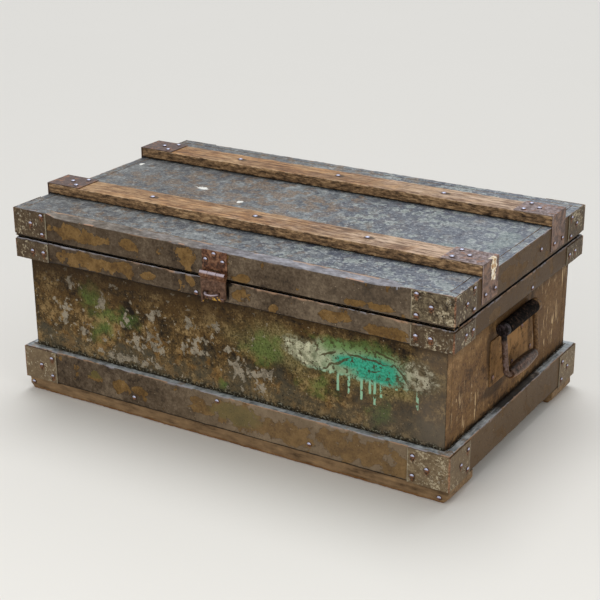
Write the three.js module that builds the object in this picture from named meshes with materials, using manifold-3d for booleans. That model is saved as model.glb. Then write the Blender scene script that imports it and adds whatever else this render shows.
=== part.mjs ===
// A painted wooden travelling chest with iron fittings, in millimetres.
// +X runs along the chest to its right end, the front faces -Y and +Z is up.
// The origin is on the floor, under the middle of the chest.

import * as THREE from 'three';
import { mergeVertices } from 'three/addons/utils/BufferGeometryUtils.js';
import Module from 'manifold-3d';

const wasm = await Module();
wasm.setup();

// Clearances
const SEAT_GAP = 0.2; // between pieces that are nailed together
const RUNNING_GAP = 0.3; // between pieces that turn against each other
const MERGE_DISTANCE = 1e-4;
const WELD = 0.8; // how far one shape runs into the next where both are one piece

// Carcass: the box itself
const CARCASS_LENGTH = 866;
const CARCASS_DEPTH = 510;
const CARCASS_HEIGHT = 284.3; // from the skids to the seam under the lid
const WALL_THICKNESS = 18;
const BOTTOM_THICKNESS = 18;

// Boards nailed round the carcass
const BAND_THICKNESS = 17;
const PLINTH_HEIGHT = 66;
const PLINTH_EDGE = 2; // bevel on the plinth's upper outer edge
const RIM_HEIGHT = 39.5;
const RIM_EDGE = 2.5; // bevel on the rim's upper outer edge

// Skids under the bottom board
const SKID_WIDTH = 95;
const SKID_HEIGHT = 25;
const SKID_INSET = 4; // from the plinth's outer face
const SKID_END_INSET = 1.5;
const SKID_END_BEVEL = 9;

// Lid: a frame of rails with a panel let in flush
const LID_HEIGHT = 57;
const LID_SEAM = 0.5;
const RAIL_THICKNESS = 18;
const RAIL_LOWER_EDGE = 2.5;
const FRONT_BEVEL_DEPTH = 16; // the front rail's top is worn down to a slope
const FRONT_BEVEL_DROP = 6;
const PANEL_THICKNESS = 14;
const PANEL_SINK = 0.6; // how far the panel lies under the rails' top

// Battens on the lid, with iron straps over their ends
const BATTEN_WIDTH = 60;
const BATTEN_THICKNESS = 20;
const BATTEN_SPACING = 290; // centre to centre
const BATTEN_NAIL_SPACING = 225;
const STRAP_TOP_LEG = 75;
const STRAP_SIDE_DROP = 47; // how far the strap runs down the lid's side

// Sheet iron and nails
const SHEET = 1.6;
const NAIL_HEAD_RADIUS = 4;
const NAIL_HEAD_HEIGHT = 2.6;
const NAIL_HEAD_SIDES = 8;
const NAIL_SHANK_RADIUS = 1.5;
const NAIL_SHANK_LENGTH = 14;
const STRAP_NAIL_SPREAD = 18.5; // from the batten's centre line
const STRAP_OUTER_NAIL = 37; // from the batten's end
const STRAP_INNER_NAIL = 59.5;
const STRAP_SIDE_NAIL = 33; // below the lid's top
const CORNER_LEG = 76; // each leg of a corner plate
const CORNER_PLATE_MARGIN = 0.6; // between a plate and its board's edge
const CORNER_NAIL_FAR = 66; // from the corner
const CORNER_NAIL_NEAR = 40;
const CORNER_NAIL_SPREAD = 18; // up and down from the board's middle

// Hinges at the back, with a lug that stops the open lid
const HINGE_SPACING = 560; // centre to centre
const HINGE_WIDTH = 70;
const HINGE_LEAF_HEIGHT = 34;
const HINGE_LEAF_THICKNESS = 2.5;
const HINGE_BARREL_RADIUS = 6;
const HINGE_PIN_RADIUS = 2.5;
const HINGE_KNUCKLES = 5;
const HINGE_NAIL_SPREAD = 24; // to each side of the leaf's middle
const HINGE_NAIL_RISE = 24; // from the pin
const LID_OPENING = 100; // degrees
const LUG_REACH = 14;
const LUG_THICKNESS = 4;
const LUG_REST_ANGLE = 55; // degrees above the horizontal, to the back
const LEDGE_REACH = 4; // how far the stop ledge runs behind the hinge pin
const LEDGE_THICKNESS = 4;

// Hasp and staple at the front
const HASP_WIDTH = 52;
const HASP_LEAF_HEIGHT = 42;
const HASP_LEAF_THICKNESS = 2;
const HASP_BARREL_RADIUS = 6.5;
const HASP_PIN_RADIUS = 2.6;
const HASP_KNUCKLES = 3;
const HASP_PIN_ABOVE_SEAM = 10.3;
const HASP_STRAP_THICKNESS = 3;
const HASP_STRAP_LENGTH = 54; // from the pin to the long leg's end
const HASP_SHORT_LEG = 41; // from the pin to the broken leg's end
const HASP_SLOT_TOP = 29.8; // below the pin
const HASP_SLOT_WIDTH = 35;
const HASP_SLOT_OFFSET = -3.5;
const HASP_NAIL_TOP = 36; // above the pin
const HASP_NAIL_LOW = 24;
const HASP_NAIL_SPREAD = 17.5;
const STAPLE_ROD_RADIUS = 2.6;
const STAPLE_BOW_RADIUS = 13;
const STAPLE_REACH = 20.5; // from the rim's face to the bow's outside
const STAPLE_BELOW_PIN = 35;
const STAPLE_PLATE_WIDTH = 46;
const STAPLE_PLATE_HEIGHT = 28;
const STAPLE_NAIL_SPREAD = 18;
const STAPLE_NAIL_DROP = 9;

// Lifting handles on the ends
const HANDLE_BELOW_RIM = 32; // from the rim's underside to the pivot
const HANDLE_WIDTH = 145; // over the bail's eyes
const HANDLE_DROP = 86; // from the pivot to the grip's axis
const HANDLE_LEAN = 5.8; // degrees out from the wall, as it hangs
const HANDLE_BARREL_RADIUS = 12.5;
const HANDLE_EYE_WIDTH = 12;
const HANDLE_EYE_RADIUS = 12;
const BAIL_ROD_RADIUS = 5.25;
const BAIL_BEND_RADIUS = 15;
const BAIL_STUB_LENGTH = 26;
const GRIP_END_RADIUS = 9;
const GRIP_MIDDLE_RADIUS = 12.5;
const HANDLE_PLATE_WIDTH = 184;
const HANDLE_PLATE_TOP = 16; // below the pivot
const HANDLE_PLATE_BOTTOM = 102;
const HANDLE_PLATE_THICKNESS = 1.8;
const HANDLE_NAIL_LOW = 86;
const HANDLE_NAIL_LOW_SPREAD = 80;
const HANDLE_NAIL_HIGH = 32;
const HANDLE_NAIL_HIGH_SPREAD = 38;

// Levels and outer faces that follow from the sizes above
const outerLength = CARCASS_LENGTH + 2 * (BAND_THICKNESS + SEAT_GAP);
const outerDepth = CARCASS_DEPTH + 2 * (BAND_THICKNESS + SEAT_GAP);
const carcassBottom = SKID_HEIGHT + SEAT_GAP;
const carcassTop = carcassBottom + CARCASS_HEIGHT;
const lidBottom = carcassTop + LID_SEAM;
const lidTop = lidBottom + LID_HEIGHT;
const seamLevel = (carcassTop + lidBottom) / 2;
const lidHinge = new THREE.Vector3(0, outerDepth / 2 + SEAT_GAP + HINGE_BARREL_RADIUS, seamLevel);
const haspPin = new THREE.Vector3(
  0,
  -(outerDepth / 2 + SEAT_GAP + HASP_BARREL_RADIUS),
  seamLevel + HASP_PIN_ABOVE_SEAM,
);

// Turning a shape made for the front, facing -Y, by these angles puts it on each side
const SIDES = [
  { name: 'front', turn: 0 },
  { name: 'right', turn: Math.PI / 2 },
  { name: 'back', turn: Math.PI },
  { name: 'left', turn: -Math.PI / 2 },
];
// Turning a shape made for the front right corner by these angles puts it on each corner
const CORNERS = [
  { name: 'front_right', turn: 0, alongX: 1, alongY: -1 },
  { name: 'back_right', turn: Math.PI / 2, alongX: 1, alongY: 1 },
  { name: 'back_left', turn: Math.PI, alongX: -1, alongY: 1 },
  { name: 'front_left', turn: -Math.PI / 2, alongX: -1, alongY: -1 },
];
const LEFT_RIGHT = [
  { name: 'left', along: -1, turn: Math.PI },
  { name: 'right', along: 1, turn: 0 },
];
const FRONT_BACK = [
  { name: 'front', along: -1 },
  { name: 'back', along: 1 },
];

function finish(color, roughness, metalness) {
  return new THREE.MeshStandardMaterial({ color, roughness, metalness });
}

const carcassPaint = finish(0x6f634b, 0.75, 0);
const bandPaint = finish(0x63523e, 0.7, 0);
const lidPaint = finish(0x74787a, 0.6, 0);
const insideWood = finish(0x8c7252, 0.85, 0);
const battenWood = finish(0x8a6842, 0.7, 0);
const skidWood = finish(0x5a4936, 0.8, 0);
const cornerIron = finish(0x6b6450, 0.6, 0.6);
const fittingIron = finish(0x4d3a33, 0.6, 0.7);
const handleIron = finish(0x2e2624, 0.5, 0.8);
const gripIron = finish(0x4a3b36, 0.45, 0.8);
const nailSteel = finish(0x8d877e, 0.4, 0.9);

// Helpers for shapes

function box(sizeX, sizeY, sizeZ) {
  return new THREE.BoxGeometry(sizeX, sizeY, sizeZ);
}

function boxBetween(low, high) {
  const size = new THREE.Vector3().subVectors(high, low);
  const middle = new THREE.Vector3().addVectors(low, high).multiplyScalar(0.5);
  return box(size.x, size.y, size.z).translate(middle.x, middle.y, middle.z);
}

function rodAlongX(radius, length, sides) {
  return new THREE.CylinderGeometry(radius, radius, length, sides).rotateZ(Math.PI / 2);
}

function rodAlongY(radius, length, sides) {
  return new THREE.CylinderGeometry(radius, radius, length, sides);
}

function toSolid(geometry) {
  const plain = geometry.index ? geometry.toNonIndexed() : geometry.clone();
  plain.deleteAttribute('normal');
  plain.deleteAttribute('uv');
  const merged = mergeVertices(plain, MERGE_DISTANCE);
  const vertProperties = new Float32Array(merged.attributes.position.array);
  const triVerts = new Uint32Array(merged.index.array);
  return new wasm.Manifold(new wasm.Mesh({ numProp: 3, vertProperties, triVerts }));
}

function toGeometry(solid) {
  const mesh = solid.getMesh();
  const geometry = new THREE.BufferGeometry();
  geometry.setAttribute('position', new THREE.BufferAttribute(mesh.vertProperties, 3));
  geometry.setIndex(new THREE.BufferAttribute(mesh.triVerts, 1));
  geometry.computeVertexNormals();
  return geometry;
}

function join(geometries) {
  return geometries.map(toSolid).reduce((whole, piece) => whole.add(piece));
}

function cut(solid, geometries) {
  return geometries.map(toSolid).reduce((rest, piece) => rest.subtract(piece), solid);
}

// Adds a mesh at a place given in the chest's own frame
function put(group, name, geometry, material, x, y, z, turn = 0) {
  const mesh = new THREE.Mesh(geometry, material);
  mesh.name = name;
  mesh.position.set(x, y, z).sub(group.position);
  mesh.rotation.z = turn;
  group.add(mesh);
  return mesh;
}

// A nail's domed head, standing up along +Y, that starts a little inside its plate
function nailHead() {
  const profile = [
    new THREE.Vector2(0, -WELD),
    new THREE.Vector2(NAIL_HEAD_RADIUS, -WELD),
    new THREE.Vector2(NAIL_HEAD_RADIUS, 0),
    new THREE.Vector2(NAIL_HEAD_RADIUS * Math.SQRT1_2, NAIL_HEAD_HEIGHT * Math.SQRT1_2),
    new THREE.Vector2(0, NAIL_HEAD_HEIGHT),
  ];
  return new THREE.LatheGeometry(profile, NAIL_HEAD_SIDES);
}

function nailFacingFront(x, y, z) {
  return nailHead().rotateZ(Math.PI).translate(x, y, z);
}

function nailFacingBack(x, y, z) {
  return nailHead().translate(x, y, z);
}

function nailFacingRight(x, y, z) {
  return nailHead().rotateZ(-Math.PI / 2).translate(x, y, z);
}

function nailFacingUp(x, y, z) {
  return nailHead().rotateX(Math.PI / 2).translate(x, y, z);
}

// A board that lies along X with its outer face to the front, its outer edges bevelled
function edgedBoard(length, thickness, height, upperBevel, lowerBevel) {
  const front = -thickness / 2;
  const top = height / 2;
  const outline = new THREE.Shape([
    new THREE.Vector2(-front, -top),
    new THREE.Vector2(-front, top),
    new THREE.Vector2(front + upperBevel, top),
    new THREE.Vector2(front, top - upperBevel),
    new THREE.Vector2(front, -top + lowerBevel),
    new THREE.Vector2(front + lowerBevel, -top),
  ].filter((point, i, points) => !point.equals(points[(i + 1) % points.length])));
  const board = new THREE.ExtrudeGeometry(outline, { depth: length, bevelEnabled: false });
  const turned = new THREE.Matrix4().makeBasis(
    new THREE.Vector3(0, 1, 0),
    new THREE.Vector3(0, 0, 1),
    new THREE.Vector3(1, 0, 0),
  );
  return board.applyMatrix4(turned).translate(-length / 2, 0, 0);
}

// Four boards round a rectangle: the front and back run through, the ends fit between
function ringOfBoards(group, nameOf, size, material) {
  for (const { name, turn } of SIDES) {
    const isEnd = name === 'left' || name === 'right';
    const length = isEnd ? size.depth - 2 * (size.thickness + SEAT_GAP) : size.length;
    const reach = (isEnd ? size.length : size.depth) / 2 - size.thickness / 2;
    const board = edgedBoard(length, size.thickness, size.height, size.upperBevel, size.lowerBevel);
    const middle = size.bottom + size.height / 2;
    put(group, nameOf(name), board, material, reach * Math.sin(turn), -reach * Math.cos(turn), middle, turn);
  }
}

// An angle plate bent round a corner of the boards, with its nail heads
function cornerPlate(height, farNails, nearNails) {
  const inner = SEAT_GAP;
  const outer = SEAT_GAP + SHEET;
  const outline = new THREE.Shape([
    new THREE.Vector2(-CORNER_LEG, -outer),
    new THREE.Vector2(outer, -outer),
    new THREE.Vector2(outer, CORNER_LEG),
    new THREE.Vector2(inner, CORNER_LEG),
    new THREE.Vector2(inner, -inner),
    new THREE.Vector2(-CORNER_LEG, -inner),
  ]);
  const plate = new THREE.ExtrudeGeometry(outline, { depth: height, bevelEnabled: false });
  plate.translate(0, 0, -height / 2);
  const nails = [];
  for (const level of farNails) {
    nails.push(nailFacingFront(-CORNER_NAIL_FAR, -outer, level));
    nails.push(nailFacingRight(outer, CORNER_NAIL_FAR, level));
  }
  for (const level of nearNails) {
    nails.push(nailFacingFront(-CORNER_NAIL_NEAR, -outer, level));
    nails.push(nailFacingRight(outer, CORNER_NAIL_NEAR, level));
  }
  return toGeometry(join([plate, ...nails]));
}

function cornerPlates(group, prefix, bottom, top, farNails) {
  const height = top - bottom - 2 * CORNER_PLATE_MARGIN;
  const plate = cornerPlate(height, farNails, [0]);
  for (const { name, turn, alongX, alongY } of CORNERS) {
    const x = (alongX * outerLength) / 2;
    const y = (alongY * outerDepth) / 2;
    put(group, `${prefix}_corner_plate_${name}`, plate.clone(), cornerIron, x, y, (bottom + top) / 2, turn);
  }
}

// One half of a hinge. The pin lies along X at the origin, the wood is on the -Y side
// and the leaf rises from the knuckles that are given by number.
function hingeLeaf(size, ownKnuckles, extras) {
  const pitch = size.width / size.knuckles;
  const clear = size.barrelRadius + RUNNING_GAP + WELD / 2;
  const back = -size.barrelRadius;
  const front = back + size.thickness;
  const left = -size.width / 2;
  const pieces = [boxBetween(
    new THREE.Vector3(left, back, clear),
    new THREE.Vector3(-left, front, size.leafHeight),
  )];
  for (const i of ownKnuckles) {
    const length = pitch - RUNNING_GAP;
    const middle = left + (i + 0.5) * pitch;
    pieces.push(rodAlongX(size.barrelRadius, length, 16).translate(middle, 0, 0));
    pieces.push(boxBetween(
      new THREE.Vector3(middle - length / 2, back, 0),
      new THREE.Vector3(middle + length / 2, front, clear + WELD),
    ));
  }
  const bore = rodAlongX(size.pinRadius + RUNNING_GAP, size.width + 2 * WELD, 16);
  return toGeometry(cut(join([...pieces, ...extras]), [bore]));
}

// The carcass

function buildCarcass(group) {
  const wallBottom = carcassBottom + BOTTOM_THICKNESS + SEAT_GAP;
  const wallHeight = carcassTop - wallBottom;
  const wallMiddle = wallBottom + wallHeight / 2;
  for (const { name, along } of FRONT_BACK) {
    const wall = box(CARCASS_LENGTH, WALL_THICKNESS, wallHeight);
    const y = (along * (CARCASS_DEPTH - WALL_THICKNESS)) / 2;
    put(group, `${name}_board`, wall, carcassPaint, 0, y, wallMiddle);
  }
  for (const { name, along } of LEFT_RIGHT) {
    const wall = box(WALL_THICKNESS, CARCASS_DEPTH - 2 * (WALL_THICKNESS + SEAT_GAP), wallHeight);
    const x = (along * (CARCASS_LENGTH - WALL_THICKNESS)) / 2;
    put(group, `${name}_end_board`, wall, carcassPaint, x, 0, wallMiddle);
  }
  const bottom = box(CARCASS_LENGTH, CARCASS_DEPTH, BOTTOM_THICKNESS);
  put(group, 'bottom_board', bottom, insideWood, 0, 0, carcassBottom + BOTTOM_THICKNESS / 2);
}

function buildBands(group) {
  const plinth = {
    length: outerLength,
    depth: outerDepth,
    thickness: BAND_THICKNESS,
    height: PLINTH_HEIGHT,
    bottom: carcassBottom,
    upperBevel: PLINTH_EDGE,
    lowerBevel: 0,
  };
  ringOfBoards(group, (side) => `plinth_${side}`, plinth, bandPaint);
  const rim = {
    ...plinth,
    height: RIM_HEIGHT,
    bottom: carcassTop - RIM_HEIGHT,
    upperBevel: RIM_EDGE,
  };
  ringOfBoards(group, (side) => `rim_${side}`, rim, bandPaint);
  const plinthTop = carcassBottom + PLINTH_HEIGHT - PLINTH_EDGE;
  cornerPlates(group, 'plinth', carcassBottom, plinthTop, [-CORNER_NAIL_SPREAD, CORNER_NAIL_SPREAD]);
  cornerPlates(group, 'rim', carcassTop - RIM_HEIGHT, carcassTop - RIM_EDGE, [0]);
}

function buildSkids(group) {
  const half = outerLength / 2 - SKID_END_INSET;
  const outline = new THREE.Shape([
    new THREE.Vector2(-half, SKID_END_BEVEL),
    new THREE.Vector2(-half + SKID_END_BEVEL, 0),
    new THREE.Vector2(half - SKID_END_BEVEL, 0),
    new THREE.Vector2(half, SKID_END_BEVEL),
    new THREE.Vector2(half, SKID_HEIGHT),
    new THREE.Vector2(-half, SKID_HEIGHT),
  ]);
  for (const { name, along } of FRONT_BACK) {
    const skid = new THREE.ExtrudeGeometry(outline, { depth: SKID_WIDTH, bevelEnabled: false });
    skid.rotateX(Math.PI / 2).translate(0, SKID_WIDTH / 2, 0);
    const y = along * (outerDepth / 2 - SKID_INSET - SKID_WIDTH / 2);
    put(group, `skid_${name}`, skid, skidWood, 0, y, 0);
  }
}

// The lid

function buildLidFrame(group) {
  const rails = {
    length: outerLength,
    depth: outerDepth,
    thickness: RAIL_THICKNESS,
    height: LID_HEIGHT,
    bottom: lidBottom,
    upperBevel: 0,
    lowerBevel: RAIL_LOWER_EDGE,
  };
  ringOfBoards(group, (side) => `lid_rail_${side}`, rails, bandPaint);
  const frontRail = group.children.find((mesh) => mesh.name === 'lid_rail_front');
  frontRail.geometry = bevelFrontRail(frontRail.geometry);
  const inset = RAIL_THICKNESS + SEAT_GAP;
  const panel = box(outerLength - 2 * inset, outerDepth - 2 * inset, PANEL_THICKNESS);
  put(group, 'lid_panel', panel, lidPaint, 0, 0, lidTop - PANEL_SINK - PANEL_THICKNESS / 2);
  cornerPlates(group, 'lid', lidBottom + RAIL_LOWER_EDGE, lidTop, [-CORNER_NAIL_SPREAD, CORNER_NAIL_SPREAD]);
}

// Takes the worn slope off the front rail, between the two corner plates
function bevelFrontRail(rail) {
  const length = outerLength - 2 * (CORNER_LEG + WELD);
  const slope = Math.atan2(FRONT_BEVEL_DROP, FRONT_BEVEL_DEPTH);
  const block = box(length, 4 * RAIL_THICKNESS, 2 * RAIL_THICKNESS);
  block.translate(0, 0, RAIL_THICKNESS).rotateX(slope);
  block.translate(0, -RAIL_THICKNESS / 2, LID_HEIGHT / 2 - FRONT_BEVEL_DROP);
  return toGeometry(cut(toSolid(rail), [block]));
}

function buildBattens(group) {
  const battenBottom = lidTop + SEAT_GAP;
  const holeRadius = NAIL_SHANK_RADIUS + SEAT_GAP;
  for (const { name, along } of FRONT_BACK) {
    const places = [-BATTEN_NAIL_SPACING, 0, BATTEN_NAIL_SPACING];
    const holes = places.map((x) => {
      const hole = rodAlongY(holeRadius, NAIL_SHANK_LENGTH, NAIL_HEAD_SIDES).rotateX(Math.PI / 2);
      return hole.translate(x, 0, BATTEN_THICKNESS / 2 - NAIL_SHANK_LENGTH / 2 + WELD);
    });
    const batten = cut(toSolid(box(outerLength, BATTEN_WIDTH, BATTEN_THICKNESS)), holes);
    const y = (along * BATTEN_SPACING) / 2;
    const middle = battenBottom + BATTEN_THICKNESS / 2;
    put(group, `lid_batten_${name}`, toGeometry(batten), battenWood, 0, y, middle);
    places.forEach((x, i) => {
      const top = battenBottom + BATTEN_THICKNESS + SEAT_GAP;
      put(group, `batten_nail_${name}_${i + 1}`, battenNail(), nailSteel, x, y, top);
    });
    for (const end of LEFT_RIGHT) {
      const x = (end.along * outerLength) / 2;
      const top = battenBottom + BATTEN_THICKNESS;
      put(group, `batten_strap_${name}_${end.name}`, battenStrap(), fittingIron, x, y, top, end.turn);
    }
  }
}

// A nail with its shank, its head's underside at the origin
function battenNail() {
  const shankLength = NAIL_SHANK_LENGTH - 2 * WELD - 2 * SEAT_GAP;
  const profile = [
    new THREE.Vector2(0, -shankLength),
    new THREE.Vector2(NAIL_SHANK_RADIUS, -shankLength),
    new THREE.Vector2(NAIL_SHANK_RADIUS, 0),
    new THREE.Vector2(NAIL_HEAD_RADIUS, 0),
    new THREE.Vector2(NAIL_HEAD_RADIUS * Math.SQRT1_2, NAIL_HEAD_HEIGHT * Math.SQRT1_2),
    new THREE.Vector2(0, NAIL_HEAD_HEIGHT),
  ];
  return new THREE.LatheGeometry(profile, NAIL_HEAD_SIDES).rotateX(Math.PI / 2);
}

// An iron strap bent over a batten's right end. The origin is the batten's top edge there.
function battenStrap() {
  const inner = SEAT_GAP;
  const outer = SEAT_GAP + SHEET;
  const foot = -(BATTEN_THICKNESS + SEAT_GAP + STRAP_SIDE_DROP);
  const outline = new THREE.Shape([
    new THREE.Vector2(-STRAP_TOP_LEG, inner),
    new THREE.Vector2(inner, inner),
    new THREE.Vector2(inner, foot),
    new THREE.Vector2(outer, foot),
    new THREE.Vector2(outer, outer),
    new THREE.Vector2(-STRAP_TOP_LEG, outer),
  ]);
  const strip = new THREE.ExtrudeGeometry(outline, { depth: BATTEN_WIDTH, bevelEnabled: false });
  strip.rotateX(Math.PI / 2).translate(0, BATTEN_WIDTH / 2, 0);
  const sideNail = -(BATTEN_THICKNESS + SEAT_GAP + STRAP_SIDE_NAIL);
  return toGeometry(join([
    strip,
    nailFacingUp(-STRAP_INNER_NAIL, STRAP_NAIL_SPREAD, outer),
    nailFacingUp(-STRAP_INNER_NAIL, -STRAP_NAIL_SPREAD, outer),
    nailFacingUp(-STRAP_OUTER_NAIL, 0, outer),
    nailFacingRight(outer, STRAP_NAIL_SPREAD, sideNail),
    nailFacingRight(outer, -STRAP_NAIL_SPREAD, sideNail),
  ]));
}

// Hinges

const hinge = {
  width: HINGE_WIDTH,
  knuckles: HINGE_KNUCKLES,
  barrelRadius: HINGE_BARREL_RADIUS,
  pinRadius: HINGE_PIN_RADIUS,
  thickness: HINGE_LEAF_THICKNESS,
  leafHeight: HINGE_LEAF_HEIGHT,
};

function hingeNails() {
  const face = -HINGE_BARREL_RADIUS + HINGE_LEAF_THICKNESS;
  return [-HINGE_NAIL_SPREAD, HINGE_NAIL_SPREAD].map((x) => nailFacingBack(x, face, HINGE_NAIL_RISE));
}

// The leaf on the lid, with the lugs that turn down onto the ledge
function lidLeaf() {
  const pitch = HINGE_WIDTH / HINGE_KNUCKLES;
  const lugs = [1, 3].map((i) => {
    const inside = HINGE_PIN_RADIUS + RUNNING_GAP + WELD;
    const lug = box(pitch - RUNNING_GAP, LUG_REACH - inside, LUG_THICKNESS);
    lug.translate(-HINGE_WIDTH / 2 + (i + 0.5) * pitch, (LUG_REACH + inside) / 2, 0);
    return lug.rotateX(THREE.MathUtils.degToRad(LUG_REST_ANGLE));
  });
  return hingeLeaf(hinge, [1, 3], [...lugs, ...hingeNails()]);
}

// The leaf on the chest. Its ledge meets the lugs when the lid is fully open.
function bodyLeaf() {
  const openAngle = THREE.MathUtils.degToRad(LID_OPENING - LUG_REST_ANGLE);
  const lugHalf = LUG_THICKNESS / 2 + RUNNING_GAP;
  const ledgeTop = (lugHalf + LEDGE_REACH * Math.sin(openAngle)) / Math.cos(openAngle);
  const ledge = boxBetween(
    new THREE.Vector3(-HINGE_WIDTH / 2, -HINGE_BARREL_RADIUS + HINGE_LEAF_THICKNESS / 2, ledgeTop),
    new THREE.Vector3(HINGE_WIDTH / 2, LEDGE_REACH, ledgeTop + LEDGE_THICKNESS),
  );
  return hingeLeaf(hinge, [0, 2, 4], [ledge, ...hingeNails()]);
}

function buildHinges(chest, lid) {
  for (const { name, along } of LEFT_RIGHT) {
    const x = (along * HINGE_SPACING) / 2;
    const pin = rodAlongX(HINGE_PIN_RADIUS, HINGE_WIDTH, 12);
    const below = put(chest, `hinge_body_leaf_${name}`, bodyLeaf(), fittingIron, x, lidHinge.y, lidHinge.z);
    below.rotation.y = Math.PI;
    put(chest, `hinge_pin_${name}`, pin, nailSteel, x, lidHinge.y, lidHinge.z);
    put(lid, `hinge_lid_leaf_${name}`, lidLeaf(), fittingIron, x, lidHinge.y, lidHinge.z);
  }
}

// Hasp

function haspLeaf() {
  const size = {
    width: HASP_WIDTH,
    knuckles: HASP_KNUCKLES,
    barrelRadius: HASP_BARREL_RADIUS,
    pinRadius: HASP_PIN_RADIUS,
    thickness: HASP_LEAF_THICKNESS,
    leafHeight: HASP_LEAF_HEIGHT,
  };
  const face = -HASP_BARREL_RADIUS + HASP_LEAF_THICKNESS;
  return hingeLeaf(size, [0, 2], [
    nailFacingBack(0, face, HASP_NAIL_TOP),
    nailFacingBack(-HASP_NAIL_SPREAD, face, HASP_NAIL_LOW),
    nailFacingBack(HASP_NAIL_SPREAD, face, HASP_NAIL_LOW),
  ]);
}

// The strap hangs from its pin at the origin. The bar under its slot has broken away,
// so it stands on two legs, one short.
function haspStrap() {
  const half = HASP_WIDTH / 2;
  const clear = HASP_BARREL_RADIUS + RUNNING_GAP + WELD / 2;
  const knuckleLength = HASP_WIDTH / HASP_KNUCKLES - RUNNING_GAP;
  const face = HASP_STRAP_THICKNESS / 2;
  const slotLeft = HASP_SLOT_OFFSET - HASP_SLOT_WIDTH / 2;
  const slotRight = HASP_SLOT_OFFSET + HASP_SLOT_WIDTH / 2;
  const beyond = -HASP_STRAP_LENGTH - WELD;
  const strap = join([
    boxBetween(new THREE.Vector3(-half, -face, -HASP_STRAP_LENGTH), new THREE.Vector3(half, face, -clear)),
    boxBetween(
      new THREE.Vector3(-knuckleLength / 2, -face, -clear - WELD),
      new THREE.Vector3(knuckleLength / 2, face, 0),
    ),
    rodAlongX(HASP_BARREL_RADIUS, knuckleLength, 16),
  ]);
  return toGeometry(cut(strap, [
    boxBetween(
      new THREE.Vector3(slotLeft, -2 * face, beyond),
      new THREE.Vector3(slotRight, 2 * face, -HASP_SLOT_TOP),
    ),
    boxBetween(
      new THREE.Vector3(slotRight - WELD, -2 * face, beyond),
      new THREE.Vector3(half + WELD, 2 * face, -HASP_SHORT_LEG),
    ),
    rodAlongX(HASP_PIN_RADIUS + RUNNING_GAP, HASP_WIDTH, 16),
  ]));
}

// The staple's rod runs straight out of its plate and back in, round a half circle
class StapleBow extends THREE.Curve {
  constructor(radius, straight) {
    super();
    this.radius = radius;
    this.straight = straight;
  }

  getPoint(t, target = new THREE.Vector3()) {
    const bow = Math.PI * this.radius;
    const along = t * (bow + 2 * this.straight);
    if (along < this.straight) {
      return target.set(-this.radius, -along, 0);
    }
    if (along > this.straight + bow) {
      return target.set(this.radius, -(2 * this.straight + bow - along), 0);
    }
    const angle = (along - this.straight) / this.radius;
    return target.set(-this.radius * Math.cos(angle), -this.straight - this.radius * Math.sin(angle), 0);
  }
}

function roundSection(radius, sides) {
  const points = [];
  for (let i = 0; i < sides; i += 1) {
    const angle = ((i + 0.5) / sides) * 2 * Math.PI;
    points.push(new THREE.Vector2(radius * Math.cos(angle), radius * Math.sin(angle)));
  }
  return new THREE.Shape(points);
}

// The staple's plate has its back at the origin and faces the front
function haspStaple() {
  const plate = box(STAPLE_PLATE_WIDTH, SHEET, STAPLE_PLATE_HEIGHT).translate(0, -SHEET / 2, 0);
  const rodStart = SHEET / 2;
  const straight = STAPLE_REACH - SEAT_GAP - STAPLE_ROD_RADIUS - STAPLE_BOW_RADIUS - rodStart;
  const path = new StapleBow(STAPLE_BOW_RADIUS, straight);
  const section = roundSection(STAPLE_ROD_RADIUS, 8);
  const rod = new THREE.ExtrudeGeometry(section, { steps: 18, extrudePath: path });
  return toGeometry(join([
    plate,
    rod.translate(0, -rodStart, 0),
    nailFacingFront(-STAPLE_NAIL_SPREAD, -SHEET, -STAPLE_NAIL_DROP),
    nailFacingFront(STAPLE_NAIL_SPREAD, -SHEET, -STAPLE_NAIL_DROP),
  ]));
}

function buildHasp(chest, lid, hasp) {
  const pin = rodAlongX(HASP_PIN_RADIUS, HASP_WIDTH, 12);
  const rimFace = -(outerDepth / 2 + SEAT_GAP);
  put(lid, 'hasp_lid_leaf', haspLeaf(), fittingIron, 0, haspPin.y, haspPin.z, Math.PI);
  put(lid, 'hasp_pin', pin, fittingIron, 0, haspPin.y, haspPin.z);
  put(hasp, 'hasp_strap', haspStrap(), fittingIron, 0, haspPin.y, haspPin.z);
  const stapleHeight = haspPin.z - STAPLE_BELOW_PIN;
  put(chest, 'hasp_staple', haspStaple(), fittingIron, HASP_SLOT_OFFSET, rimFace, stapleHeight);
}

// Handles, made for the right end with the pivot at the origin and the wood to the left

const eyeMiddle = (HANDLE_WIDTH - HANDLE_EYE_WIDTH) / 2;
const barrelHalf = eyeMiddle - HANDLE_EYE_WIDTH / 2 - RUNNING_GAP;

function handlePlate() {
  const back = -HANDLE_BARREL_RADIUS;
  const face = back + HANDLE_PLATE_THICKNESS;
  const half = HANDLE_PLATE_WIDTH / 2;
  const nails = [-1, 0, 1].map((k) => nailFacingRight(face, k * HANDLE_NAIL_LOW_SPREAD, -HANDLE_NAIL_LOW));
  nails.push(nailFacingRight(face, HANDLE_NAIL_HIGH_SPREAD, -HANDLE_NAIL_HIGH));
  nails.push(nailFacingRight(face, -HANDLE_NAIL_HIGH_SPREAD, -HANDLE_NAIL_HIGH));
  const plate = join([
    boxBetween(
      new THREE.Vector3(back, -half, -HANDLE_PLATE_BOTTOM),
      new THREE.Vector3(face, half, -HANDLE_PLATE_TOP),
    ),
    boxBetween(
      new THREE.Vector3(back, -barrelHalf, -HANDLE_PLATE_TOP - WELD),
      new THREE.Vector3(face, barrelHalf, 0),
    ),
    rodAlongY(HANDLE_BARREL_RADIUS, 2 * barrelHalf, 20),
    ...nails,
  ]);
  return toGeometry(cut(plate, [rodAlongY(BAIL_ROD_RADIUS + RUNNING_GAP, HANDLE_WIDTH, 12)]));
}

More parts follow.
